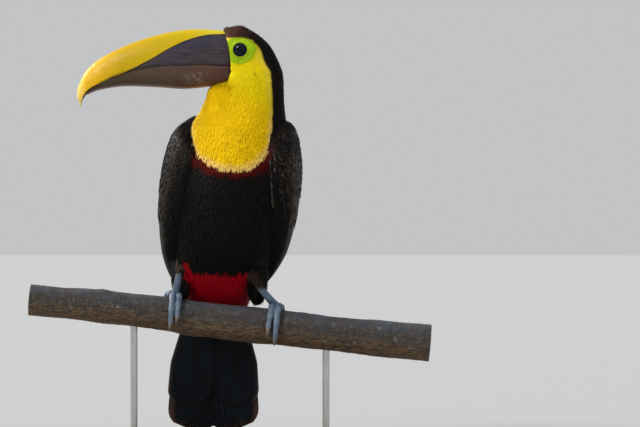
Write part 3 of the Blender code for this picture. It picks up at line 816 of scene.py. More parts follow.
BILL_ROOT = (-14.0, HEAD_Y, 397.0)
BLACK_SIZE = (  # height, length and width of the black plumage's vanes, and the space between them
    (110, 22, 3.1, 2.5),
    (170, 19, 2.8, 2.2),
    (230, 15, 2.4, 1.9),
    (300, 12, 2.0, 1.65),
    (330, 10, 1.7, 1.4),
    (355, 8.5, 1.4, 1.15),
    (385, 6, 1.15, 0.98),
    (423, 4.8, 1.0, 0.9),
)
YELLOW_SIZE = (
    (270, 8.0, 1.4, 1.15),
    (330, 7.5, 1.35, 1.1),
    (355, 5.2, 1.15, 0.95),
    (375, 3.6, 0.98, 0.84),
    (400, 2.8, 0.88, 0.76),
    (423, 2.6, 0.85, 0.75),
)
TUFT_STATIONS, TUFT_SHAPE = 4, (0.42, 0.95, 1.0, 0.72)  # share of the width at each station
TUFT_CORNERS = 3 * TUFT_STATIONS + 1
PIECE_TUFTS = 7200  # keeps each piece under 200,000 triangles
HEAD_Z, LEG_PLUMAGE_Z, VENT_END_Z = 352, 124, 117
BAKE_PATCH, BAKE_STRIPS = 0.003, 16
WING_MARGIN = 0.12  # of a wing's width, where small plumage still grows under its vanes
# A wing's flight feathers: their order from its front edge back, and how far down it each one's tip lies.
FLIGHT_ORDER = (0, 0.06, 0.18, 0.32, 0.5, 0.75, 1)
FLIGHT_REACH = (0.86, 0.93, 1.0, 0.985, 0.93, 0.86, 0.78)


class Surface:
    """The skin as something to grow on: closest points, their normals and their place on the unwrap."""

    def __init__(self, mesh):
        mesh.calc_loop_triangles()
        self.points = points_of(mesh)
        self.triangles = pulled(mesh.loop_triangles, "vertices", 3)
        uv = pulled(mesh.uv_layers["OFBake"].data, "uv", 2, np.float32)
        self.uv = uv[pulled(mesh.loop_triangles, "loops", 3)].mean(1)
        self.normals = unit(normals_of(mesh)[self.triangles].mean(1))
        self.tree = BVHTree.FromPolygons(self.points.tolist(), self.triangles.tolist())

    def nearest(self, points):
        """Closest points on the skin, and the triangle that each lies in."""
        found = [self.tree.find_nearest(point) for point in points.tolist()]
        return np.array([hit[0] for hit in found]), np.array([hit[2] for hit in found])

    def scatter(self, spacing):
        """Random places on the skin, as far apart as spacing gives for each, and their triangles."""
        a, b, c = (self.points[self.triangles[:, k]] for k in range(3))
        area = np.linalg.norm(np.cross(b - a, c - a), axis=1) / 2
        gap = spacing((a + b + c) / 3)
        wanted = np.where(gap > 0, area / np.maximum(gap, 0.1) ** 2, 0)
        chosen = chance.choice(len(area), int(wanted.sum() * 3), p=wanted / wanted.sum())
        u, v = chance.random((2, len(chosen)))
        flip = u + v > 1
        u, v = np.where(flip, 1 - u, u)[:, None], np.where(flip, 1 - v, v)[:, None]
        places = a[chosen] + (b - a)[chosen] * u + (c - a)[chosen] * v
        level = np.round(np.log(gap[chosen]) / np.log(1.25))
        cells = np.floor(places / (1.25**level * 1.05)[:, None]).astype(np.int64)
        key = np.concatenate([cells, level[:, None].astype(np.int64)], 1)
        first = np.sort(np.unique(key, axis=0, return_index=True)[1])
        return places[first], chosen[first]


def lie(points, normals):
    """Which way the plumage lies: back from the bill over the head, then down."""
    head = smooth_step(340, 385, points[..., 2])
    way = mix((0.0, 0.0, -1.0), unit(points - BILL_ROOT) + (0, 0, -0.15), head)
    way = way + 0.10 * np.stack([noise(points, 16, seed) for seed in (11, 12, 13)], -1)
    return unit(way - normals * dot(way, normals))


def march(surface, roots, faces, length):
    """Stations along the skin from each root, with the skin's normal and the coat's way at each."""
    places, normals, ways = [roots], [surface.normals[faces]], []
    for _ in range(TUFT_STATIONS):
        ways.append(lie(places[-1], normals[-1]))
        place, face = surface.nearest(places[-1] + ways[-1] * (length / TUFT_STATIONS)[:, None])
        places.append(place)
        normals.append(surface.normals[face])
    return np.stack(places, 1), np.stack(normals, 1), np.stack([*ways, ways[-1]], 1)


def tuft_points(places, normals, ways, width, lift, curl, relief):
    """Each tuft's corners: left, ridge and right at its stations, then its tip. lift holds root and tip."""
    stations = np.arange(TUFT_STATIONS + 1) / TUFT_STATIONS
    across = unit(np.cross(normals, ways))
    rise = lift[:, :1] + (lift[:, 1:] - lift[:, :1]) * stations**0.8
    middle = places + normals * rise[..., None] + across * (curl[:, None] * stations**2)[..., None]
    half = width[:, None] / 2 * np.array(TUFT_SHAPE)
    m, n, b = middle[:, :-1], normals[:, :-1], across[:, :-1]
    droop = n * (half * relief)[..., None]
    left, right = m - b * half[..., None] - droop, m + b * half[..., None] - droop
    ridge = m + n * (half * relief + 0.06)[..., None]
    body = np.stack([left, ridge, right], 2).reshape(len(places), -1, 3)
    return np.concatenate([body, middle[:, -1:]], 1)


def tuft_faces():
    last = 3 * (TUFT_STATIONS - 1)
    triangles = [(last + k, last + (k + 1) % 3, last + 3) for k in range(3)] + [(2, 1, 0)]
    return grid_faces(TUFT_STATIONS, 3), np.array(triangles)


def repeated(faces, count, corners):
    """The same faces for each of this many vanes, which have this many corners."""
    return (faces + (np.arange(count) * corners)[:, None, None]).reshape(-1, faces.shape[1])


def mark_sharp(mesh, corners, rims):
    """Sharp edges along the rims of vanes, so that each one's face and underside shade apart."""
    ends = edges_of(mesh) % corners
    sharp = np.any([np.isin(ends, rim).all(1) for rim in rims], 0)
    mesh.attributes.new("sharp_edge", "BOOLEAN", "EDGE").data.foreach_set("value", sharp)


def set_bake_map(mesh, uv):
    layer = mesh.uv_layers.new(name="OFBake")
    layer.data.foreach_set("uv", uv[pulled(mesh.loops, "vertex_index")].astype(np.float32).ravel())


def plant(name, surface, roots, faces, length, width, lift, material, root_painted_shade, relief):
    """Makes the tufts rooted at these places as pieces, coloured by where each one's tip lies."""
    places, normals, ways = march(surface, roots, faces, length)
    curl = chance.normal(0, 0.10, len(roots)) * length
    points = tuft_points(places, normals, ways, width, lift, curl, relief)
    stations = np.append(np.repeat(np.arange(TUFT_STATIONS), 3), TUFT_STATIONS) / TUFT_STATIONS
    side = np.append(np.tile([-1.0, 0.0, 1.0], TUFT_STATIONS), 0.0)
    # Painted shade: each tuft is darker towards its root, where the tufts above cover it, and a little darker
    # on its sides than on its ridge.
    shade = root_painted_shade + (1 - root_painted_shade) * smooth_step(0, 0.5, stations)
    tone = 1 + chance.normal(0, 0.05, (len(roots), 1))
    tints = tint_of(places[:, -1])[:, None] * (shade * np.where(side == 0, 1.0, 0.96) * tone)[..., None]
    which = chance.random((len(roots), 1)) * 50
    vane = stacked(side * width[:, None] / 2, stations * length[:, None], which)
    uv = surface.uv[faces][:, None] + np.stack([side * 0.5, stations - 0.5], -1) * BAKE_PATCH
    end = TUFT_CORNERS - 1
    rims = [[*range(0, end, 3), end], [*range(2, end, 3), end], [0, 1, 2]]
    pieces = math.ceil(len(roots) / PIECE_TUFTS)
    for number, chosen in enumerate(np.array_split(np.arange(len(roots)), pieces), 1):
        title = f"coat_{name}_{number}"
        all_faces = [repeated(part, len(chosen), TUFT_CORNERS) for part in tuft_faces()]
        mesh = new_mesh(title, points[chosen].reshape(-1, 3), all_faces)
        set_tint(mesh, np.clip(tints[chosen].reshape(-1, 3), 0, 1))
        set_vectors(mesh, "vane", vane[chosen])
        set_bake_map(mesh, uv[chosen].reshape(-1, 2))
        mark_sharp(mesh, TUFT_CORNERS, rims)
        put_on(new_object(title, mesh), material, f"{name}_plumage")


def flight_tip_across(order):
    """How far across the wing a flight feather's tip lies."""
    return 0.06 + 0.84 * np.asarray(order)


def in_wing(points):
    """Whether these points of the skin belong to a wing, clear of its edges."""
    found = np.zeros(len(points), bool)
    for side in LEGS:
        along, across = wing_place(side, points)
        tips = np.interp(across, flight_tip_across(FLIGHT_ORDER), FLIGHT_REACH)
        inside = (across > 0.02 + WING_MARGIN) & (across < 0.99 - WING_MARGIN)
        found |= inside & (along > 0.01) & (along < tips - 0.05)
    return found & (body_out(points) > -1.0)


def feathered(points):
    """Where small plumage grows: not on bare skin, at the bill, or under the middle of a wing."""
    x, z = points[..., 0], points[..., 2]
    eye = eye_distance(points) + noise(points, 4, 21) * 1.2 > BARE_REACH
    start = 1.0 - 0.8 * (z > 408) - 5.0 * (z > 414)
    bill = (x - face_edge_x(z) > start) | (z < 364)
    return np.where(z > HEAD_Z, eye & bill, z > LEG_PLUMAGE_Z) & ~in_wing(points)


def small_plumage(surface, materials):
    """Yellow tufts inside the bib and black ones outside it, which overlap at its edge."""
    # The last two numbers of each row are the painted shade at the tufts' roots and how high their ridges
    # stand.
    for name, sizes, way, overlap, thickness, *shading in (
        ("yellow", YELLOW_SIZE, 1, 1.5, 0.8, 0.88, 0.035),
        ("black", BLACK_SIZE, -1, 1.0, 1.0, 0.6, 0.06),
    ):

        def spacing(points):
            grows = feathered(points) & (way * bib_distance(points) < overlap)
            return np.where(grows, read(sizes, points[..., 2])[2], 0)

        roots, faces = surface.scatter(spacing)
        count, x, z = len(roots), roots[:, 0], roots[:, 2]
        length, width, _ = read(sizes, z)
        near = np.clip((eye_distance(roots) - BARE_REACH) / 12, 0, 1)
        from_bill = np.clip((x - face_edge_x(z)) / 10, 0, 1)
        near = np.minimum(near, np.maximum(from_bill, smooth_step(366, 356, z)))
        small = np.where(z > HEAD_Z, 0.5 + 0.5 * near, 1)
        length = length * small * chance.uniform(0.8, 1.2, count)
        length = np.minimum(length, np.maximum(z - VENT_END_Z, 4))
        width = width * (0.5 + 0.5 * small) * chance.uniform(0.85, 1.15, count)
        proud = chance.random(count) ** 6
        forehead = smooth_step(411, 416, z) * smooth_step(16, 4, x)
        leg = smooth_step(7.0, 4.5, tibia_distance(roots))
        length = length * (1 + 0.5 * forehead) * (1 - 0.6 * leg)
        width = width * (1 - 0.5 * leg)
        rise = coat_depth(roots) * (0.85 + 0.35 * proud) + 0.12 + 1.3 * forehead * chance.random(count)
        lift = stacked(-0.35, rise * thickness * (1 - 0.7 * leg))
        plant(name, surface, roots, faces, length, width, lift, materials[name], *shading)


# Flight feathers, coverts and tail: broad vanes from a grid of points, each with its own shaft

ROOT_SHARE = 0.55  # of a vane's width at its root
FLIGHT_COUNT, TAIL_THICK = 17, 0.55
# Each pair of tints is a vane's middle and its rim.
FLIGHT_TINTS = (0.0066, 0.0048, 0.0036), (0.036, 0.0215, 0.0135)
COVERT_TINTS = (0.0072, 0.0052, 0.0038), (0.046, 0.032, 0.024)
# The shoulder's lesser coverts have pale grey rims, lightened further as a painted sunlit highlight.
SHOULDER_EDGE_AND_HIGHLIGHT_TINTS = (0.0072, 0.0052, 0.0038), (0.090, 0.078, 0.072)
TAIL_TINTS, TAIL_PALE_EDGE_AND_HIGHLIGHT = ((0.0058, 0.0082, 0.0112), (0.085, 0.044, 0.030)), (0.16, 0.13, 0.115)
COVERTS = (  # first and last row along the wing, rows, length, half width, space between, lift and tints
    ("greater_coverts", 0.27, 0.33, 2, 42, 5.6, 7.0, (-1.4, 0.15), COVERT_TINTS),
    ("median_coverts", 0.21, 0.27, 3, 24, 4.4, 5.8, (-1.3, 0.25), COVERT_TINTS),
    ("lesser_coverts", 0.012, 0.22, 13, 15, 3.0, 3.8, (-1.2, 0.35), SHOULDER_EDGE_AND_HIGHLIGHT_TINTS),
)


def vanes_object(name, top, under, tints, vane, material, *nodes):
    """Closed vanes from their upper and lower faces, arrays of vane, station, column and axis."""
    count, stations, columns = top.shape[:3]
    ring = 2 * columns
    corners = stations * ring
    k = np.arange(columns - 1)
    root = np.stack([k + 1, k, ring - 1 - k, ring - 2 - k], -1)
    faces = np.concatenate([grid_faces(stations, ring), root, (stations - 1) * ring + root[:, ::-1]])

    def ringed(upper, lower):
        return np.concatenate([upper, lower[:, :, ::-1]], 2)

    mesh = new_mesh(name, ringed(top, under).reshape(-1, 3), [repeated(faces, count, corners)])
    set_tint(mesh, np.clip(ringed(tints, tints).reshape(-1, 3), 0, 1))
    set_vectors(mesh, "vane", ringed(vane, vane))
    column = np.append(np.arange(columns), np.arange(columns)[::-1] + columns + 1) / (ring + 1)
    number = np.arange(count)[:, None, None]
    u = (number % BAKE_STRIPS + 0.05 + 0.9 * column) / BAKE_STRIPS
    row = number // BAKE_STRIPS + 0.05 + 0.9 * np.arange(stations)[:, None] / stations
    set_bake_map(mesh, stacked(u, row / math.ceil(count / BAKE_STRIPS)).reshape(-1, 2))
    local = np.arange(corners) % ring
    mark_sharp(mesh, corners, [np.flatnonzero(local == edge) for edge in (0, columns - 1, columns, ring - 1)])
    put_on(face_out(new_object(name, mesh)), material, "black_plumage", *nodes)


def wing_vanes(name, side, root, tip, half, lift, thick, tilt, grid, tints, material):
    """Vanes along a folded wing. root and tip are shares of its length and width, half is a half width."""
    stations, columns = grid
    s, w = np.linspace(0, 1, stations)[:, None], np.linspace(-1, 1, columns)
    root, tip, half = root[:, None, None], tip[:, None, None], half[:, None, None]
    along = root[..., 0] + (tip[..., 0] - root[..., 0]) * s
    centre = root[..., 1] + (tip[..., 1] - root[..., 1]) * s
    full = (ROOT_SHARE + (1 - ROOT_SHARE) * smooth_step(0, 0.35, s)) * round_edge(1 - s, 0.28)
    shape = np.maximum(full, 0.06)
    front, back = (wing_point(side, along, np.clip(centre, 0, 1) + step) for step in (-0.02, 0.02))
    span = np.linalg.norm(back - front, axis=-1)
    reach = half * shape
    place = centre + w * reach / np.maximum(span / 0.04, 12)
    tip_round = 0.022 * (half / 8) * w**2 * smooth_step(0.75, 1, s)
    ripple = noise(stacked(along * 180, w * 5, centre * 60), 9, 31) * 0.12
    out = lift[0] + (lift[1] - lift[0]) * s - tilt * w * shape - 0.45 * w**2 * shape + ripple
    out = out + 0.2 * bell(w, 0.12) * (1 - s)
    top = wing_point(side, along - tip_round, place, out)
    under = wing_point(side, along - tip_round, place, out - thick)
    length = np.linalg.norm(top[:, -1, columns // 2] - top[:, 0, columns // 2], axis=-1)[:, None, None]
    rim = np.maximum(smooth_step(0.55, 1.0, np.abs(w)), 0.5 * smooth_step(0.86, 1.0, s))
    tone = 1 + chance.normal(0, 0.10, (len(root), 1, 1)) + 0.12 * noise(top, 12, 33)
    # Painted sunlit highlight: the middle of the bird's left wing is made lighter.
    paler_patch = smooth_step(0.12, 0.25, along) * smooth_step(0.75, 0.5, along) * (side == "left")
    colours = mix(*tints, rim * 0.8) * (tone * (0.85 + 1.6 * paler_patch))[..., None]
    # Painted shade: each vane is darker towards its root, where the vanes above cover it.
    colours = colours * (0.55 + 0.45 * smooth_step(0, 0.3, s))[..., None]
    vane = stacked(w * reach, s * length, chance.random((len(root), 1, 1)) * 50)
    vanes_object(name, top, under, colours, vane, material)


def wing_rows(side, first, last, rows, length, half, gap):
    """Roots and tips of rows of coverts, as shares of the wing, and the feathers' half widths."""
    roots, tips, halves = [], [], []
    for row, along in enumerate(np.linspace(first, last, rows)):
        span = np.linalg.norm(wing_point(side, along, 0.75) - wing_point(side, along, 0.25)) * 2
        count = max(4, int(span / gap))
        across = (np.arange(count) + 0.5 * (row % 2) + chance.uniform(-0.15, 0.15, count)) / count
        start = np.stack([along + chance.normal(0, 0.006, count), np.clip(across, 0.015, 0.985)], -1)
        reach = length * chance.uniform(0.88, 1.12, count) / (WING_TOP_Z[side] - WING_TIP_Z)
        roots.append(start)
        tips.append(start + np.stack([reach, chance.normal(0.01, 0.012, count)], -1))
        halves.append(half * chance.uniform(0.9, 1.1, count))
    return np.concatenate(roots), np.concatenate(tips), np.concatenate(halves)


def make_wings(material):
    order = np.linspace(0, 1, FLIGHT_COUNT)
    root = np.stack([0.40 + 0.04 * np.sin(order * 3), 0.05 + 0.90 * order], -1)
    tip = np.stack([np.interp(order, FLIGHT_ORDER, FLIGHT_REACH), flight_tip_across(order)], -1)
    half = np.interp(order, (0, 0.2, 0.5, 1), (7.0, 8.5, 9.5, 9.0))
    for side in LEGS:
        title = f"flight_feathers_{side}"
        wing_vanes(title, side, root, tip, half, (-1.6, -0.1), 0.4, 0.8, (26, 9), FLIGHT_TINTS, material)
        for title, *layout, lift, tints in COVERTS:
            rows = wing_rows(side, *layout)
            wing_vanes(f"{title}_{side}", side, *rows, lift, 0.35, 0.25, (9, 5), tints, material)


def make_tail(material):
    """Ten tail feathers, five each side, the outermost shortest and nearest the chest."""
    pairs = len(TAIL_TIP_Z)
    pair, side = np.repeat(np.arange(pairs), 2)[:, None, None], np.tile([-1, 1], pairs)[:, None, None]
    tip_z, tip_spread, widest = (np.array(row)[pair] for row in (TAIL_TIP_Z, TAIL_TIP_SPREAD, RECTRIX_HALF))
    s, w = np.linspace(0, 1, 30)[:, None], np.sin(np.linspace(-1, 1, 11) * math.pi / 2)
    z = TAIL_ROOT_Z + (tip_z - TAIL_ROOT_Z) * s
    root_spread = TAIL_ROOT_SPREAD * np.minimum(pair + 0.5, 3.5) / pairs
    middle = TAIL_X + 2.6 * (1 - s) + side * (root_spread + (tip_spread - root_spread) * np.sqrt(s))
    full = 0.45 + 0.55 * np.minimum(s / 0.6, 1)
    half = widest * full * np.maximum(round_edge(1 - s, 0.15), 0.05)
    x = middle + w * half
    y = tail_y(z) + RECTRIX_STEP * (pairs / 2 - pair - 0.25 * (side > 0)) + 0.5
    y = y + 1.1 * w**2 * full - 0.35 * bell(w, 0.09) + 0.35 * side * w
    top = stacked(x, y + 0.3 * noise(stacked(x, z, 40.0 * pair + 9 * side), 13, 41), z)
    outer, behind = side * w, pair < pairs - 1
    rim = smooth_step(0.55, 1.0, outer) * smooth_step(0.70, 0.88, s) * behind
    rim = np.maximum(rim, smooth_step(0.95, 1.0, s) * smooth_step(-0.7, 0.2, outer) * behind)
    rim = np.maximum(rim, smooth_step(0.90, 1.0, outer) * 0.5 + smooth_step(0.96, 1.0, s) * 0.35)
    # A pale rim on the outermost pair's outer edges, lightened further as a painted highlight.
    pale = smooth_step(0.94, 1.0, outer) * ~behind
    streak = noise(stacked(top[..., 0] * 0.9, 0, top[..., 2] * 0.04), 1.6, 42)
    # Painted shade: each feather is darker along its edge towards the tail's middle, where the feathers part
    # and overlap.
    tone = (1 + 0.35 * streak) * (1 - 0.6 * smooth_step(-0.82, -1.0, outer))
    tints = mix(mix(*TAIL_TINTS, rim * 0.8), TAIL_PALE_EDGE_AND_HIGHLIGHT, pale) * tone[..., None]
    vane = stacked(w * half, s * (TAIL_ROOT_Z - tip_z), np.arange(2 * pairs)[:, None, None] * 3.7)
    vanes_object("tail_feathers", top, top + (0, TAIL_THICK, 0), tints, vane, material, "tail")


# Bill

YELLOW_LINE = (  # lower edge of the yellow on the upper mandible, from the tip: x, z
    (-147.6, 336.0),
    (-147.0, 345.0),
    (-145.6, 352.4),
    (-140.9, 358.4),
    (-133.6, 362.7),
    (-121.5, 368.1),
    (-102.0, 376.6),
    (-80.5, 387.5),
    (-61.0, 399.0),
    (-48.8, 405.1),
    (-36.7, 409.9),
    (-24.6, 412.9),
    (-12, 414.0),
    (10, 414.4),
)
# What stands on each mandible for the other's mark: height above the lower one's edge, or above the yellow's.
UPPER_MARK, LOWER_MARK = 99, -30


def mandible(edge, ridge, half_width, fullness, flare, boxy=1.0):
    """Rings of an arch from one cutting edge over the ridge to the other, and how far up it each point is."""
    angle = np.linspace(0, math.pi, 61)[None]
    rise = np.sin(angle) ** fullness
    across = np.cos(angle)
    across = np.sign(across) * np.abs(across) ** boxy * (1 - flare * rise)
    place = edge[:, None] + (ridge - edge)[:, None] * rise[..., None]
    y = HEAD_Y - across * half_width[:, None]
    return np.stack([place[..., 0], y, place[..., 1]], -1), rise + 0 * y


def above_line(x, z):
    """Distance of points above the yellow's lower edge, negative below it."""
    line = along_line(YELLOW_LINE, np.linspace(0, 1, 120))
    best, signed = np.full(len(x), 1e9), np.zeros(len(x))
    for (x0, z0), (x1, z1) in zip(line[:-1], line[1:]):
        run = max((x1 - x0) ** 2 + (z1 - z0) ** 2, 1e-9)
        t = np.clip(((x - x0) * (x1 - x0) + (z - z0) * (z1 - z0)) / run, 0, 1)
        away = np.hypot(x - x0 - t * (x1 - x0), z - z0 - t * (z1 - z0))
        side = np.sign((x1 - x0) * (z - z0) - (z1 - z0) * (x - x0))
        closer = away < best
        best, signed = np.where(closer, away, best), np.where(closer, away * side, signed)
    return signed


def horn_object(name, rings, share, broad, fine, seed, rim, rim_reach):
    """A mandible's body, gently swollen, with a raised rim round its base."""
    swell = broad * noise(rings * (0.25, 1, 1), 7, seed) + fine * noise(rings * (0.2, 1, 1), 2.5, seed + 1)
    swell = swell + rim * bell(share[:, None], rim_reach) - 0.05
    return loft_object(name, rings + unit(rings - rings.mean(1, keepdims=True)) * swell[..., None])


def make_bill(material):
    share = np.linspace(0, 1, 200)
    half = read(BILL_HALF_WIDTH, share)[0]
    rings, rise = mandible(along_line(GAPE_LINE, share), along_line(CULMEN, share), half, 0.8, 0.12)
    along = share[:, None]
    low = (1 - smooth_step(0.0, 0.16, rise)) * smooth_step(0.05, 0.2, along) * smooth_step(1.0, 0.9, along)
    teeth = np.abs(np.sin(along * 62 + 2.5 * np.sin(along * 19))) ** 0.6
    rings[..., 2] -= low * (0.75 * teeth - 0.1)
    upper = horn_object("bill_upper_horn", rings, share, 0.16, 0.10, 51, 0.55, 0.012)
    x, _, z = points_of(upper.data).T
    set_vectors(upper.data, "marks", stacked(above_line(x, z), x, UPPER_MARK))

    share = np.linspace(0, 1, 150)
    edge, ridge = along_line(GAPE_LINE, share * JAW_REACH), along_line(GONYS, share)
    edge = edge - unit(ridge - edge) * 0.4
    half = read(BILL_HALF_WIDTH, share * JAW_REACH)[0] * (0.985 - JAW_NARROWING * share**4)
    ahead = smooth_step(0.05, 0.4, share)[:, None]
    rings, _ = mandible(edge, ridge, half, 0.5 + 0.25 * ahead, 0.1, 0.7 + 0.3 * ahead)
    lower = horn_object("bill_lower_horn", rings, share, 0.14, 0.08, 53, 0.5, 0.014)
    x, _, z = points_of(lower.data).T
    height = z - np.interp(x, *np.array(GONYS[::-1], float).T)
    set_vectors(lower.data, "marks", stacked(LOWER_MARK, x, height))
    put_on(face_out(upper), material, "bill_upper", "bill_upper")
    put_on(face_out(lower), material, "bill_lower", "bill_lower")


def bill_material():
    """Horn: yellow over dark, streaked along its length, scuffed, with a dark line round its base."""
    shader = Shader("bill_horn", Specular_IOR_Level=0.15, Subsurface_Weight=0.06)
    shader.set(Subsurface_Radius=(1.0, 0.55, 0.15), Subsurface_Scale=0.003)
    ranged, mixed, times, ramp = shader.ranged, shader.mixed, shader.times, shader.ramp
    # How far above the yellow's edge, along the bill, and above the lower mandible's edge.
    edge, x, rim = shader.split(shader.attribute("marks"))
    place = shader.place()
    streaks = shader.noise(shader.place(60.0, 420.0, 420.0), 1.0, 5.0, 0.6)
    yellow = ramp(
        ranged(x, -155.0, 5.0),
        (0.0, (0.86, 0.70, 0.24)),
        (0.08, (0.74, 0.42, 0.008)),
        (0.30, (0.49, 0.315, 0.0010)),
        (0.7, (0.52, 0.38, 0.0012)),
        (1.0, (0.66, 0.56, 0.03)),
    )
    yellow = mixed((streaks, 0.35, 0.75, 0.0, 0.35), yellow, (0.42, 0.25, 0.003))
    upper_dark = ramp(
        ranged(x, -150.0, 5.0),
        (0.0, (0.080, 0.055, 0.028)),
        (0.35, (0.062, 0.044, 0.034)),
        (0.62, (0.050, 0.040, 0.041)),
        (0.9, (0.042, 0.031, 0.036)),
        (1.0, (0.022, 0.011, 0.012)),
    )
    violet = times(ranged(edge, -26.0, -5.0, 0.1, 0.9), ranged(x, -95.0, -45.0))
    upper_dark = mixed(violet, upper_dark, (0.022, 0.025, 0.056))
    lower_dark = ramp(
        ranged(x, -145.0, 5.0),
        (0.0, (0.085, 0.058, 0.030)),
        (0.45, (0.085, 0.056, 0.038)),
        (0.8, (0.092, 0.046, 0.032)),
        (1.0, (0.060, 0.020, 0.016)),
    )
    dark = mixed((rim, 60.0, 50.0), upper_dark, lower_dark)
    dark = mixed((streaks, 0.4, 0.8, 0.0, 0.55), dark, (0.10, 0.070, 0.055))
    dark = mixed((shader.noise(place, 55.0), 0.45, 0.8, 0.0, 0.5), dark, (0.035, 0.022, 0.020))
    paler_patch = times(ranged(x, -50.0, -40.0), ranged(x, -18.0, -26.0))
    paler_patch = times(paler_patch, times(ranged(rim, 16.0, 12.0), ranged(rim, 3.0, 6.0)))
    paler_patch = times(paler_patch, ranged(shader.noise(place, 260.0, 4.0, 0.6), 0.47, 0.62, 0.0, 0.6))
    dark = mixed(paler_patch, dark, (0.22, 0.175, 0.15))
    dark = mixed((rim, 2.2, 0.8, 0.0, 0.75), dark, (0.26, 0.13, 0.055))
    wander = shader.math("MULTIPLY_ADD", streaks, 0.8, edge)
    dark = mixed((wander, -1.4, 0.2), dark, (0.020, 0.014, 0.010))
    colour = mixed((wander, 0.1, 0.8), dark, yellow)
    colour = mixed((x, -1.8, 0.4), colour, (0.012, 0.006, 0.005))
    shader.set(Base_Color=colour, Roughness=ranged(streaks, 0.3, 0.75, 0.24, 0.48))
    shader.bump(shader.math("MULTIPLY_ADD", streaks, 3.0, shader.noise(place, 1500.0)), 0.35, 0.0002)
    return shader.material


# Eyes


def eye_material():
    """Wet: a black pupil, a blue-black iris with faint spokes, and a black rim."""
    shader = Shader("eye_wet", Roughness=0.04, Specular_IOR_Level=0.18)
    marks = shader.attribute("marks")
    reach = shader.math("MULTIPLY_ADD", shader.noise(marks, 2.2), 0.8, shader.split(marks)[0])
    colour = shader.ramp(
        shader.ranged(reach, 0.0, 9.0),
        (0.0, (0.001, 0.001, 0.001)),
        (0.42, (0.001, 0.0012, 0.003)),
        (0.47, (0.0050, 0.0090, 0.028)),
        (0.72, (0.0035, 0.0060, 0.018)),
        (0.80, (0.002, 0.002, 0.003)),
        (1.0, (0.002, 0.002, 0.002)),
    )
    shader.set(Base_Color=colour)
    return shader.material


def make_eyes(material):
    """Eyeballs with a low cornea, whose iris and pupil face straight out to the side."""
    tilt, ball = ball_grid(60, 80, 0.01)
    ball = ball[..., [0, 2, 1]] * (EYE_RADIUS * (1 + 0.045 * bell(tilt, 0.55)))[..., None]
    for name, side in (("left", -1), ("right", 1)):
        centre = np.array([EYE_X, HEAD_Y + side * EYE_SPREAD, EYE_Z])
        eye = face_out(loft_object(f"eyeball_{name}", centre + ball * (1.0, side, 1.0)))
        x, y, z = (points_of(eye.data) - centre).T
        angle = np.arctan2(z, x)
        radial = np.where(y * side > 0, np.hypot(x, z), EYE_RADIUS + 0.5)  # the back counts as past the rim
        set_vectors(eye.data, "marks", stacked(radial, np.cos(angle) * 2, np.sin(angle) * 2))
        put_on(eye, material, "eye", f"eye_{name}")


# Branch, legs and feet

FLAKE_X, FLAKE_TURN = -45, 75  # a lifted flake of bark
KNOTS = (  # place along the branch, degrees round it, size and height
    (-128, 20, 7, 1.6),
    (118, 60, 8, 1.4),
    (-38, 172, 15, 2.6),
    (168, 300, 7, 1.3),
    (-82, 250, 8, 1.2),
    (-20, 180, 20, 1.6),
    (14, 178, 22, 1.8),
)


def branch_z(x):
    return BRANCH_Z - BRANCH_FALL * x + BRANCH_FLATTEN * x**3


def branch_radius(x):
    return BRANCH_RADIUS + BRANCH_GROW * x + 0.35 * np.sin(x / 23) + 0.25 * np.sin(x / 11 + 1)


def branch_point(x, degrees, out):
    """Points this far out of the bark. Degrees run from its top towards its front."""
    slope = -BRANCH_FALL + 3 * BRANCH_FLATTEN * x**2
    upward = unit(np.stack([-slope, 0 * slope, 1 + 0 * slope], -1))
    angle = np.radians(degrees)[..., None]
    way = upward * np.cos(angle) + np.array([0.0, -1.0, 0.0]) * np.sin(angle)
    return np.stack([x, 0 * x, branch_z(x)], -1) + way * (branch_radius(x) + out)[..., None]


def make_branch():
    x, degrees = np.broadcast_arrays(
        np.linspace(-BRANCH_HALF, BRANCH_HALF, 620)[:, None], np.linspace(0, 360, 150, endpoint=False)
    )
    bare = branch_point(x, degrees, 0 * x)
    rough = 0.45 * noise(bare * (0.35, 1, 1), 5, 61) + 0.22 * noise(bare * (0.5, 1, 1), 1.8, 62)
    rough += 0.35 * noise(bare, 17, 63)
    knots = np.zeros_like(x)
    for at, turn, size, height in KNOTS:
        away = np.hypot(x - at, np.radians(half_turn(degrees - turn)) * branch_radius(x))
        knots += height * bell(away, size) - 0.7 * bell(away, size * 0.25)
    cracks = -0.5 * smooth_step(0.42, 0.75, noise(bare * (0.12, 1, 1), 2.6, 64))
    turned = np.radians(half_turn(degrees - FLAKE_TURN)) * 17 / 3.2
    flake = 0.7 * (np.hypot((x - FLAKE_X) / 9, turned + 0.3 * noise(bare, 3, 65)) < 1)
    ends = smooth_step(BRANCH_HALF, BRANCH_HALF - 2.0, np.abs(x))
    rings = branch_point(x, degrees, (rough + knots + cracks + flake) * (0.3 + 0.7 * ends) - 0.35)
    branch = face_out(loft_object("perch_bark", rings))
    x, _, z = points_of(branch.data).T
    set_vectors(branch.data, "marks", stacked((z - branch_z(x)) / branch_radius(x), 0, 0))
    put_on(branch, bark_material(), "bark", "perch_branch")
    branch.data.materials.append(end_grain_material())
    sawn = pulled(branch.data.polygons, "loop_total") == 3
    branch.data.polygons.foreach_set("material_index", sawn.astype(np.int32))


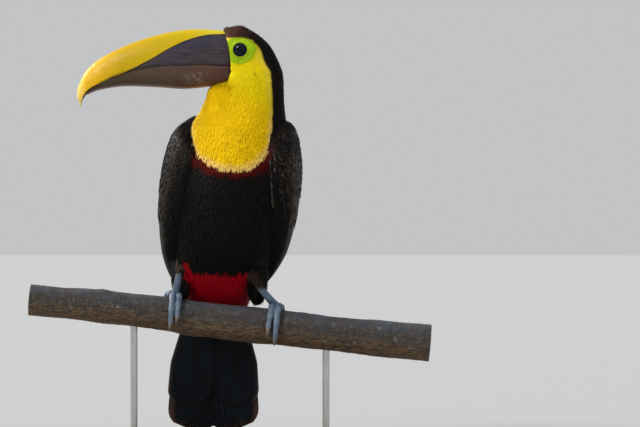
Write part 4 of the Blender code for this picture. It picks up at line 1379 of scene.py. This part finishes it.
def bark_material():
    """Weathered bark: grey-brown with dark cracks, pale lichen specks and warmer patches, and a painted bluish
    sheen along its top.
    """
    shader = Shader("bark_rough")
    ranged, mixed, times = shader.ranged, shader.mixed, shader.times
    place, up = shader.place(), shader.split(shader.attribute("marks"))[0]
    grain = shader.noise(shader.place(0.3, 1.0, 1.0), 520.0, 6.0, 0.7)
    patches = shader.noise(place, 70.0, 4.0)
    lichen = shader.noise(place, 160.0, 5.0, 0.7)
    cracks = shader.noise(shader.place(1.0, 0.12, 0.12), 900.0)
    browns = (0.32, (0.005, 0.004, 0.004)), (0.50, (0.024, 0.019, 0.016)), (0.68, (0.115, 0.095, 0.082))
    colour = shader.ramp(grain, *browns)
    colour = mixed((patches, 0.42, 0.68, 0.0, 0.6), colour, (0.040, 0.026, 0.016))
    colour = mixed((patches, 0.52, 0.30, 0.0, 0.5), colour, (0.036, 0.038, 0.042))
    colour = mixed((cracks, 0.48, 0.62, 0.0, 0.75), colour, (0.010, 0.008, 0.008))
    # Painted sheen: the top of the branch made bluer and lighter, as where it catches the light from above.
    painted_top_sheen = times(ranged(up, 0.30, 0.90, 0.0, 0.9), ranged(patches, 0.35, 0.60, 1.0, 0.35))
    colour = mixed(painted_top_sheen, colour, (0.040, 0.048, 0.068))
    warm = times(ranged(up, 0.15, -0.60, 0.0, 0.95), ranged(grain, 0.42, 0.58, 0.1, 1.0))
    colour = mixed(warm, colour, (0.150, 0.080, 0.030))
    colour = mixed((lichen, 0.60, 0.70, 0.0, 0.65), colour, (0.22, 0.20, 0.18))
    colour = mixed((shader.cells(place, 330.0), 0.16, 0.06, 0.0, 0.55), colour, (0.20, 0.17, 0.14))
    shader.set(Base_Color=colour, Roughness=ranged(grain, 0.3, 0.7, 0.62, 0.95))
    shader.bump(shader.math("MULTIPLY_ADD", lichen, 0.6, grain), 0.7, 0.0009)
    return shader.material


def end_grain_material():
    """Sawn end of the branch, with its rings round the pith, wavering a little, and darker at its rim."""
    shader = Shader("end_grain", Roughness=0.7)
    place = shader.place()
    x, y, z = shader.split(place)
    level = shader.math("ADD", z, shader.times(x, BRANCH_FALL))
    centred = shader.math("SUBTRACT", level, BRANCH_Z * MM)
    flat = shader.node("CombineXYZ", {"X": y, "Y": centred})[0]
    away = shader.node("VectorMath", {0: flat}, operation="LENGTH")["Value"]
    turned = shader.math("MULTIPLY_ADD", shader.noise(place, 130.0), 0.003, away)
    wave = shader.math("SINE", shader.times(turned, 4200.0))
    wood = (0.0, (0.30, 0.19, 0.10)), (0.8, (0.46, 0.33, 0.19)), (1.0, (0.20, 0.12, 0.06))
    colour = shader.ramp(shader.ranged(wave, -1.0, 1.0), *wood)
    shader.set(Base_Color=shader.mixed((away, 0.0145, 0.0165), colour, (0.035, 0.022, 0.014)))
    shader.bump(wave, 0.2, 0.0003)
    return shader.material


def tube_rings(path, radii, steps):
    """Rings round a path, with a round bead closing each end."""
    way = unit(np.gradient(path, axis=0))
    side = unit(np.cross(way, (1.0, 0.0, 0.02)))[:, None]
    angle = np.linspace(0, TAU, steps, endpoint=False)[:, None]
    circle = np.cos(angle) * side + np.sin(angle) * np.cross(way[:, None], side)
    caps = []
    for end, direction in ((0, -1), (-1, 1)):
        ahead, around = direction * way[end] * radii[end], circle[end] * radii[end]
        turns = np.linspace(math.pi / 2 * 0.92, 0.25, 5)
        caps.append([path[end] + ahead * math.sin(turn) + around * math.cos(turn) for turn in turns])
    return np.concatenate([caps[0], path[:, None] + circle * radii[:, None, None], caps[1][::-1]])


def make_claw(name, leg, facing, end, wrap, material):
    s = np.linspace(0, 1, 40)
    arch = CLAW_ARCH * 1.2 * np.sin(math.pi * s) + TOE_RADIUS - 0.5 * s
    path = branch_point(leg["foot_x"] + end + 0 * s, facing * (wrap - 4 + CLAW_WRAP * s), arch)
    rings = tube_rings(path, CLAW_RADIUS * (1.12 - 0.95 * s**1.4), 30)
    put_on(face_out(loft_object(f"talon_{name}", rings)), material, "claw", f"claw_{name}")


def make_feet(skin_of_foot, horn):
    for side, leg in LEGS.items():
        s = np.linspace(0, 1, 40)
        bare = smooth_step(leg["feathered"] - 0.15, leg["feathered"] + 0.05, s)
        paths = [shank_path(leg, s)]
        radii = [TARSUS_RADIUS * (1.08 - 0.20 * np.sin(math.pi * s)) * (0.45 + 0.55 * bare)]
        s = np.linspace(0, 1, 60)
        for number, (start, end, wrap) in enumerate(leg["front"] + leg["hind"], 1):
            facing = 1 if number <= len(leg["front"]) else -1
            x = leg["foot_x"] + start + (end - start) * s
            paths.append(branch_point(x, facing * (wrap * s - 6), TOE_RADIUS - TOE_SQUEEZE + 0 * s))
            radii.append(TOE_RADIUS * (1.02 - 0.30 * s**1.5 + 0.07 * np.cos(3 * TAU * s)))
            make_claw(f"{side}_{number}", leg, facing, end, wrap, horn)
        tubes = [loft_object("tube", tube_rings(path, radius, 40)) for path, radius in zip(paths, radii)]
        foot = remeshed(tubes, FOOT_VOXEL, f"foot_{side}_scaly")
        points = relaxed(foot.data, 8)
        set_points(foot.data, points)
        set_points(foot.data, scuted(points, normals_of(foot.data), paths))
        end = shank_path(leg, np.array([leg["feathered"] + 0.05]))[0, 2]
        set_vectors(foot.data, "marks", stacked(smooth_step(end - 3, end + 3, points[:, 2]), 0, 0))
        foot.data.shade_smooth()
        put_on(foot, skin_of_foot, "foot", f"foot_{side}")


def scuted(points, normals, paths):
    """Scutes across the backs of shank and toes, and grains on their soles."""
    run = [np.append(0, np.cumsum(np.linalg.norm(np.diff(path, axis=0), axis=1))) for path in paths]
    paths = np.concatenate(paths)
    parts = np.array_split(points, 20)  # taken apart to save memory
    nearest = np.concatenate([np.argmin(((part[:, None] - paths) ** 2).sum(-1), 1) for part in parts])
    along = np.concatenate(run)[nearest]
    centre = np.stack([points[:, 0], 0 * along, branch_z(points[:, 0])], -1)
    back = dot(normals, unit(points - centre))[:, 0]
    saw = (along / 2.3) % 1
    plate = 0.26 * (saw**0.6) * smooth_step(1.0, 0.9, saw) - 0.1
    grain = 0.12 * noise(points, 0.9, 71)
    share = smooth_step(-0.05, 0.4, back)
    return points + normals * (plate * share + grain * (1 - share))[:, None]


def foot_material():
    """Blue-grey scaly skin, paler grey on its ridges, with painted shade in its creases."""
    shader = Shader("foot_skin", Roughness=0.5, Specular_IOR_Level=0.3)
    place, mixed = shader.place(), shader.mixed
    scales = shader.cells(place, 900.0, "DISTANCE_TO_EDGE")
    shape = shader.node("NewGeometry", {})["Pointiness"]
    blues = (0.3, (0.020, 0.046, 0.100)), (0.5, (0.044, 0.090, 0.165)), (0.7, (0.095, 0.150, 0.210))
    colour = shader.ramp(shader.noise(place, 160.0, 4.0), *blues)
    # Paler grey where the surface bulges into ridges; then painted shade, darker where it hollows into
    # creases.
    colour = mixed((shape, 0.50, 0.56, 0.0, 0.7), colour, (0.42, 0.44, 0.42))
    colour = mixed((shape, 0.49, 0.42, 0.0, 0.8), colour, (0.020, 0.026, 0.035))
    colour = mixed((scales, 0.0, 0.12, 0.5, 0.0), colour, (0.035, 0.045, 0.055))
    feathered_part = shader.split(shader.attribute("marks"))[0]
    shader.set(Base_Color=mixed(feathered_part, colour, (0.026, 0.016, 0.012)))
    shader.bump(scales, 0.4, 0.0004)
    return shader.material


def claw_material():
    shader = Shader("claw_horn")
    streaks = shader.noise(shader.place(), 600.0, 4.0)
    shader.set(Base_Color=shader.ramp(streaks, (0.3, (0.070, 0.058, 0.050)), (0.7, (0.20, 0.17, 0.145))))
    shader.set(Roughness=shader.ranged(streaks, 0.3, 0.7, 0.25, 0.45))
    shader.bump(streaks, 0.25, 0.0003)
    return shader.material


# Stand


def base_material():
    """Dark stained wood with long grain."""
    shader = Shader("stained_wood", Coat_Weight=0.3, Coat_Roughness=0.25)
    grain = shader.noise(shader.place(6.0, 60.0, 60.0), 1.0, 5.0, distortion=0.6)
    pores = shader.noise(shader.place(40.0, 900.0, 900.0), 1.0)
    browns = (0.30, (0.022, 0.011, 0.006)), (0.50, (0.055, 0.028, 0.014)), (0.68, (0.100, 0.055, 0.028))
    colour = shader.mixed((pores, 0.58, 0.70, 0.0, 0.6), shader.ramp(grain, *browns), (0.012, 0.006, 0.004))
    shader.set(Base_Color=colour, Roughness=shader.ranged(pores, 0.4, 0.7, 0.34, 0.55))
    shader.bump(pores, 0.15, 0.0003)
    return shader.material


def rod_material():
    """Brushed steel, its lines running along the rod."""
    shader = Shader("brushed_rod", Metallic=1.0)
    lines = shader.noise(shader.place(3000.0, 3000.0, 60.0), 1.0)
    shader.set(Base_Color=shader.ramp(lines, (0.3, (0.42, 0.41, 0.39)), (0.7, (0.62, 0.61, 0.59))))
    shader.set(Roughness=shader.ranged(lines, 0.3, 0.7, 0.24, 0.42))
    shader.bump(lines, 0.1, 0.0001)
    return shader.material


def dress_node(name, material):
    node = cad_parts[name]
    node.data.materials.clear()
    node.data.materials.append(material)


# Floor, light and camera

CAMERA_PLACE, LENS, SENSOR = (0.090, -3.0, 0.2355), 168.75, 36.0  # the place in metres
FLOOR_RADIUS, FLOOR_DROP = 14.0, 0.0004  # in metres
WORLD_COLOUR, WORLD_STRENGTH = (0.96, 0.98, 1.0, 1), 0.56


def make_floor():
    mesh = bpy.data.meshes.new("floor")
    bm = bmesh.new()
    bmesh.ops.create_circle(bm, cap_ends=True, segments=96, radius=FLOOR_RADIUS)
    bm.to_mesh(mesh)
    bm.free()
    floor = new_object("floor", mesh)
    floor.location.z = -FLOOR_DROP
    mesh.materials.append(Shader("floor_paper", Roughness=0.9, Base_Color=(0.37, 0.38, 0.39)).material)


def make_sun(name, way, spread, strength, colour):
    """A wide soft sun shining along this direction."""
    light = bpy.data.lights.new(name, "SUN")
    light.angle, light.energy, light.color = math.radians(spread), strength, colour
    new_object(name, light).rotation_euler = Vector(way).to_track_quat("-Z", "Y").to_euler()


def set_stage():
    make_floor()
    make_sun("key", (1.0, 0.75, -1.1), 24, 2.5, (1.0, 0.96, 0.90))
    make_sun("rim", (1.0, -0.65, -0.8), 16, 2.7, (1.0, 0.97, 0.92))
    make_sun("fill", (-1.0, 1.2, -0.5), 60, 0.35, (0.92, 0.96, 1.0))
    world = bpy.data.worlds.new("studio")
    world.use_nodes = True
    background = world.node_tree.nodes["Background"].inputs
    background["Color"].default_value, background["Strength"].default_value = WORLD_COLOUR, WORLD_STRENGTH
    scene = bpy.context.scene
    scene.world = world
    scene.view_settings.view_transform = "Standard"
    camera = bpy.data.cameras.new("camera")
    camera.lens, camera.sensor_width, camera.clip_end = LENS, SENSOR, 60
    scene.camera = new_object("camera", camera)
    scene.camera.location, scene.camera.rotation_euler = CAMERA_PLACE, (math.pi / 2, 0, 0)


def build():
    surface = Surface(make_skin())
    materials = {
        "yellow": plumage_material("yellow_feather", 0.65, 0.03, (1.0, 0.9, 0.4), 0.12),
        "black": plumage_material("black_feather", 0.55, 0.012, (0.75, 0.78, 0.9)),
    }
    small_plumage(surface, materials)
    flight = plumage_material("flight_feather", 0.50, 0.012, (0.8, 0.8, 0.85))
    make_wings(flight)
    make_tail(flight)
    make_bill(bill_material())
    make_eyes(eye_material())
    make_feet(foot_material(), claw_material())
    make_branch()
    dress_node("stand_base", base_material())
    rod = rod_material()
    for name in ("stand_rod_left", "stand_rod_right"):
        dress_node(name, rod)
    set_stage()


build()
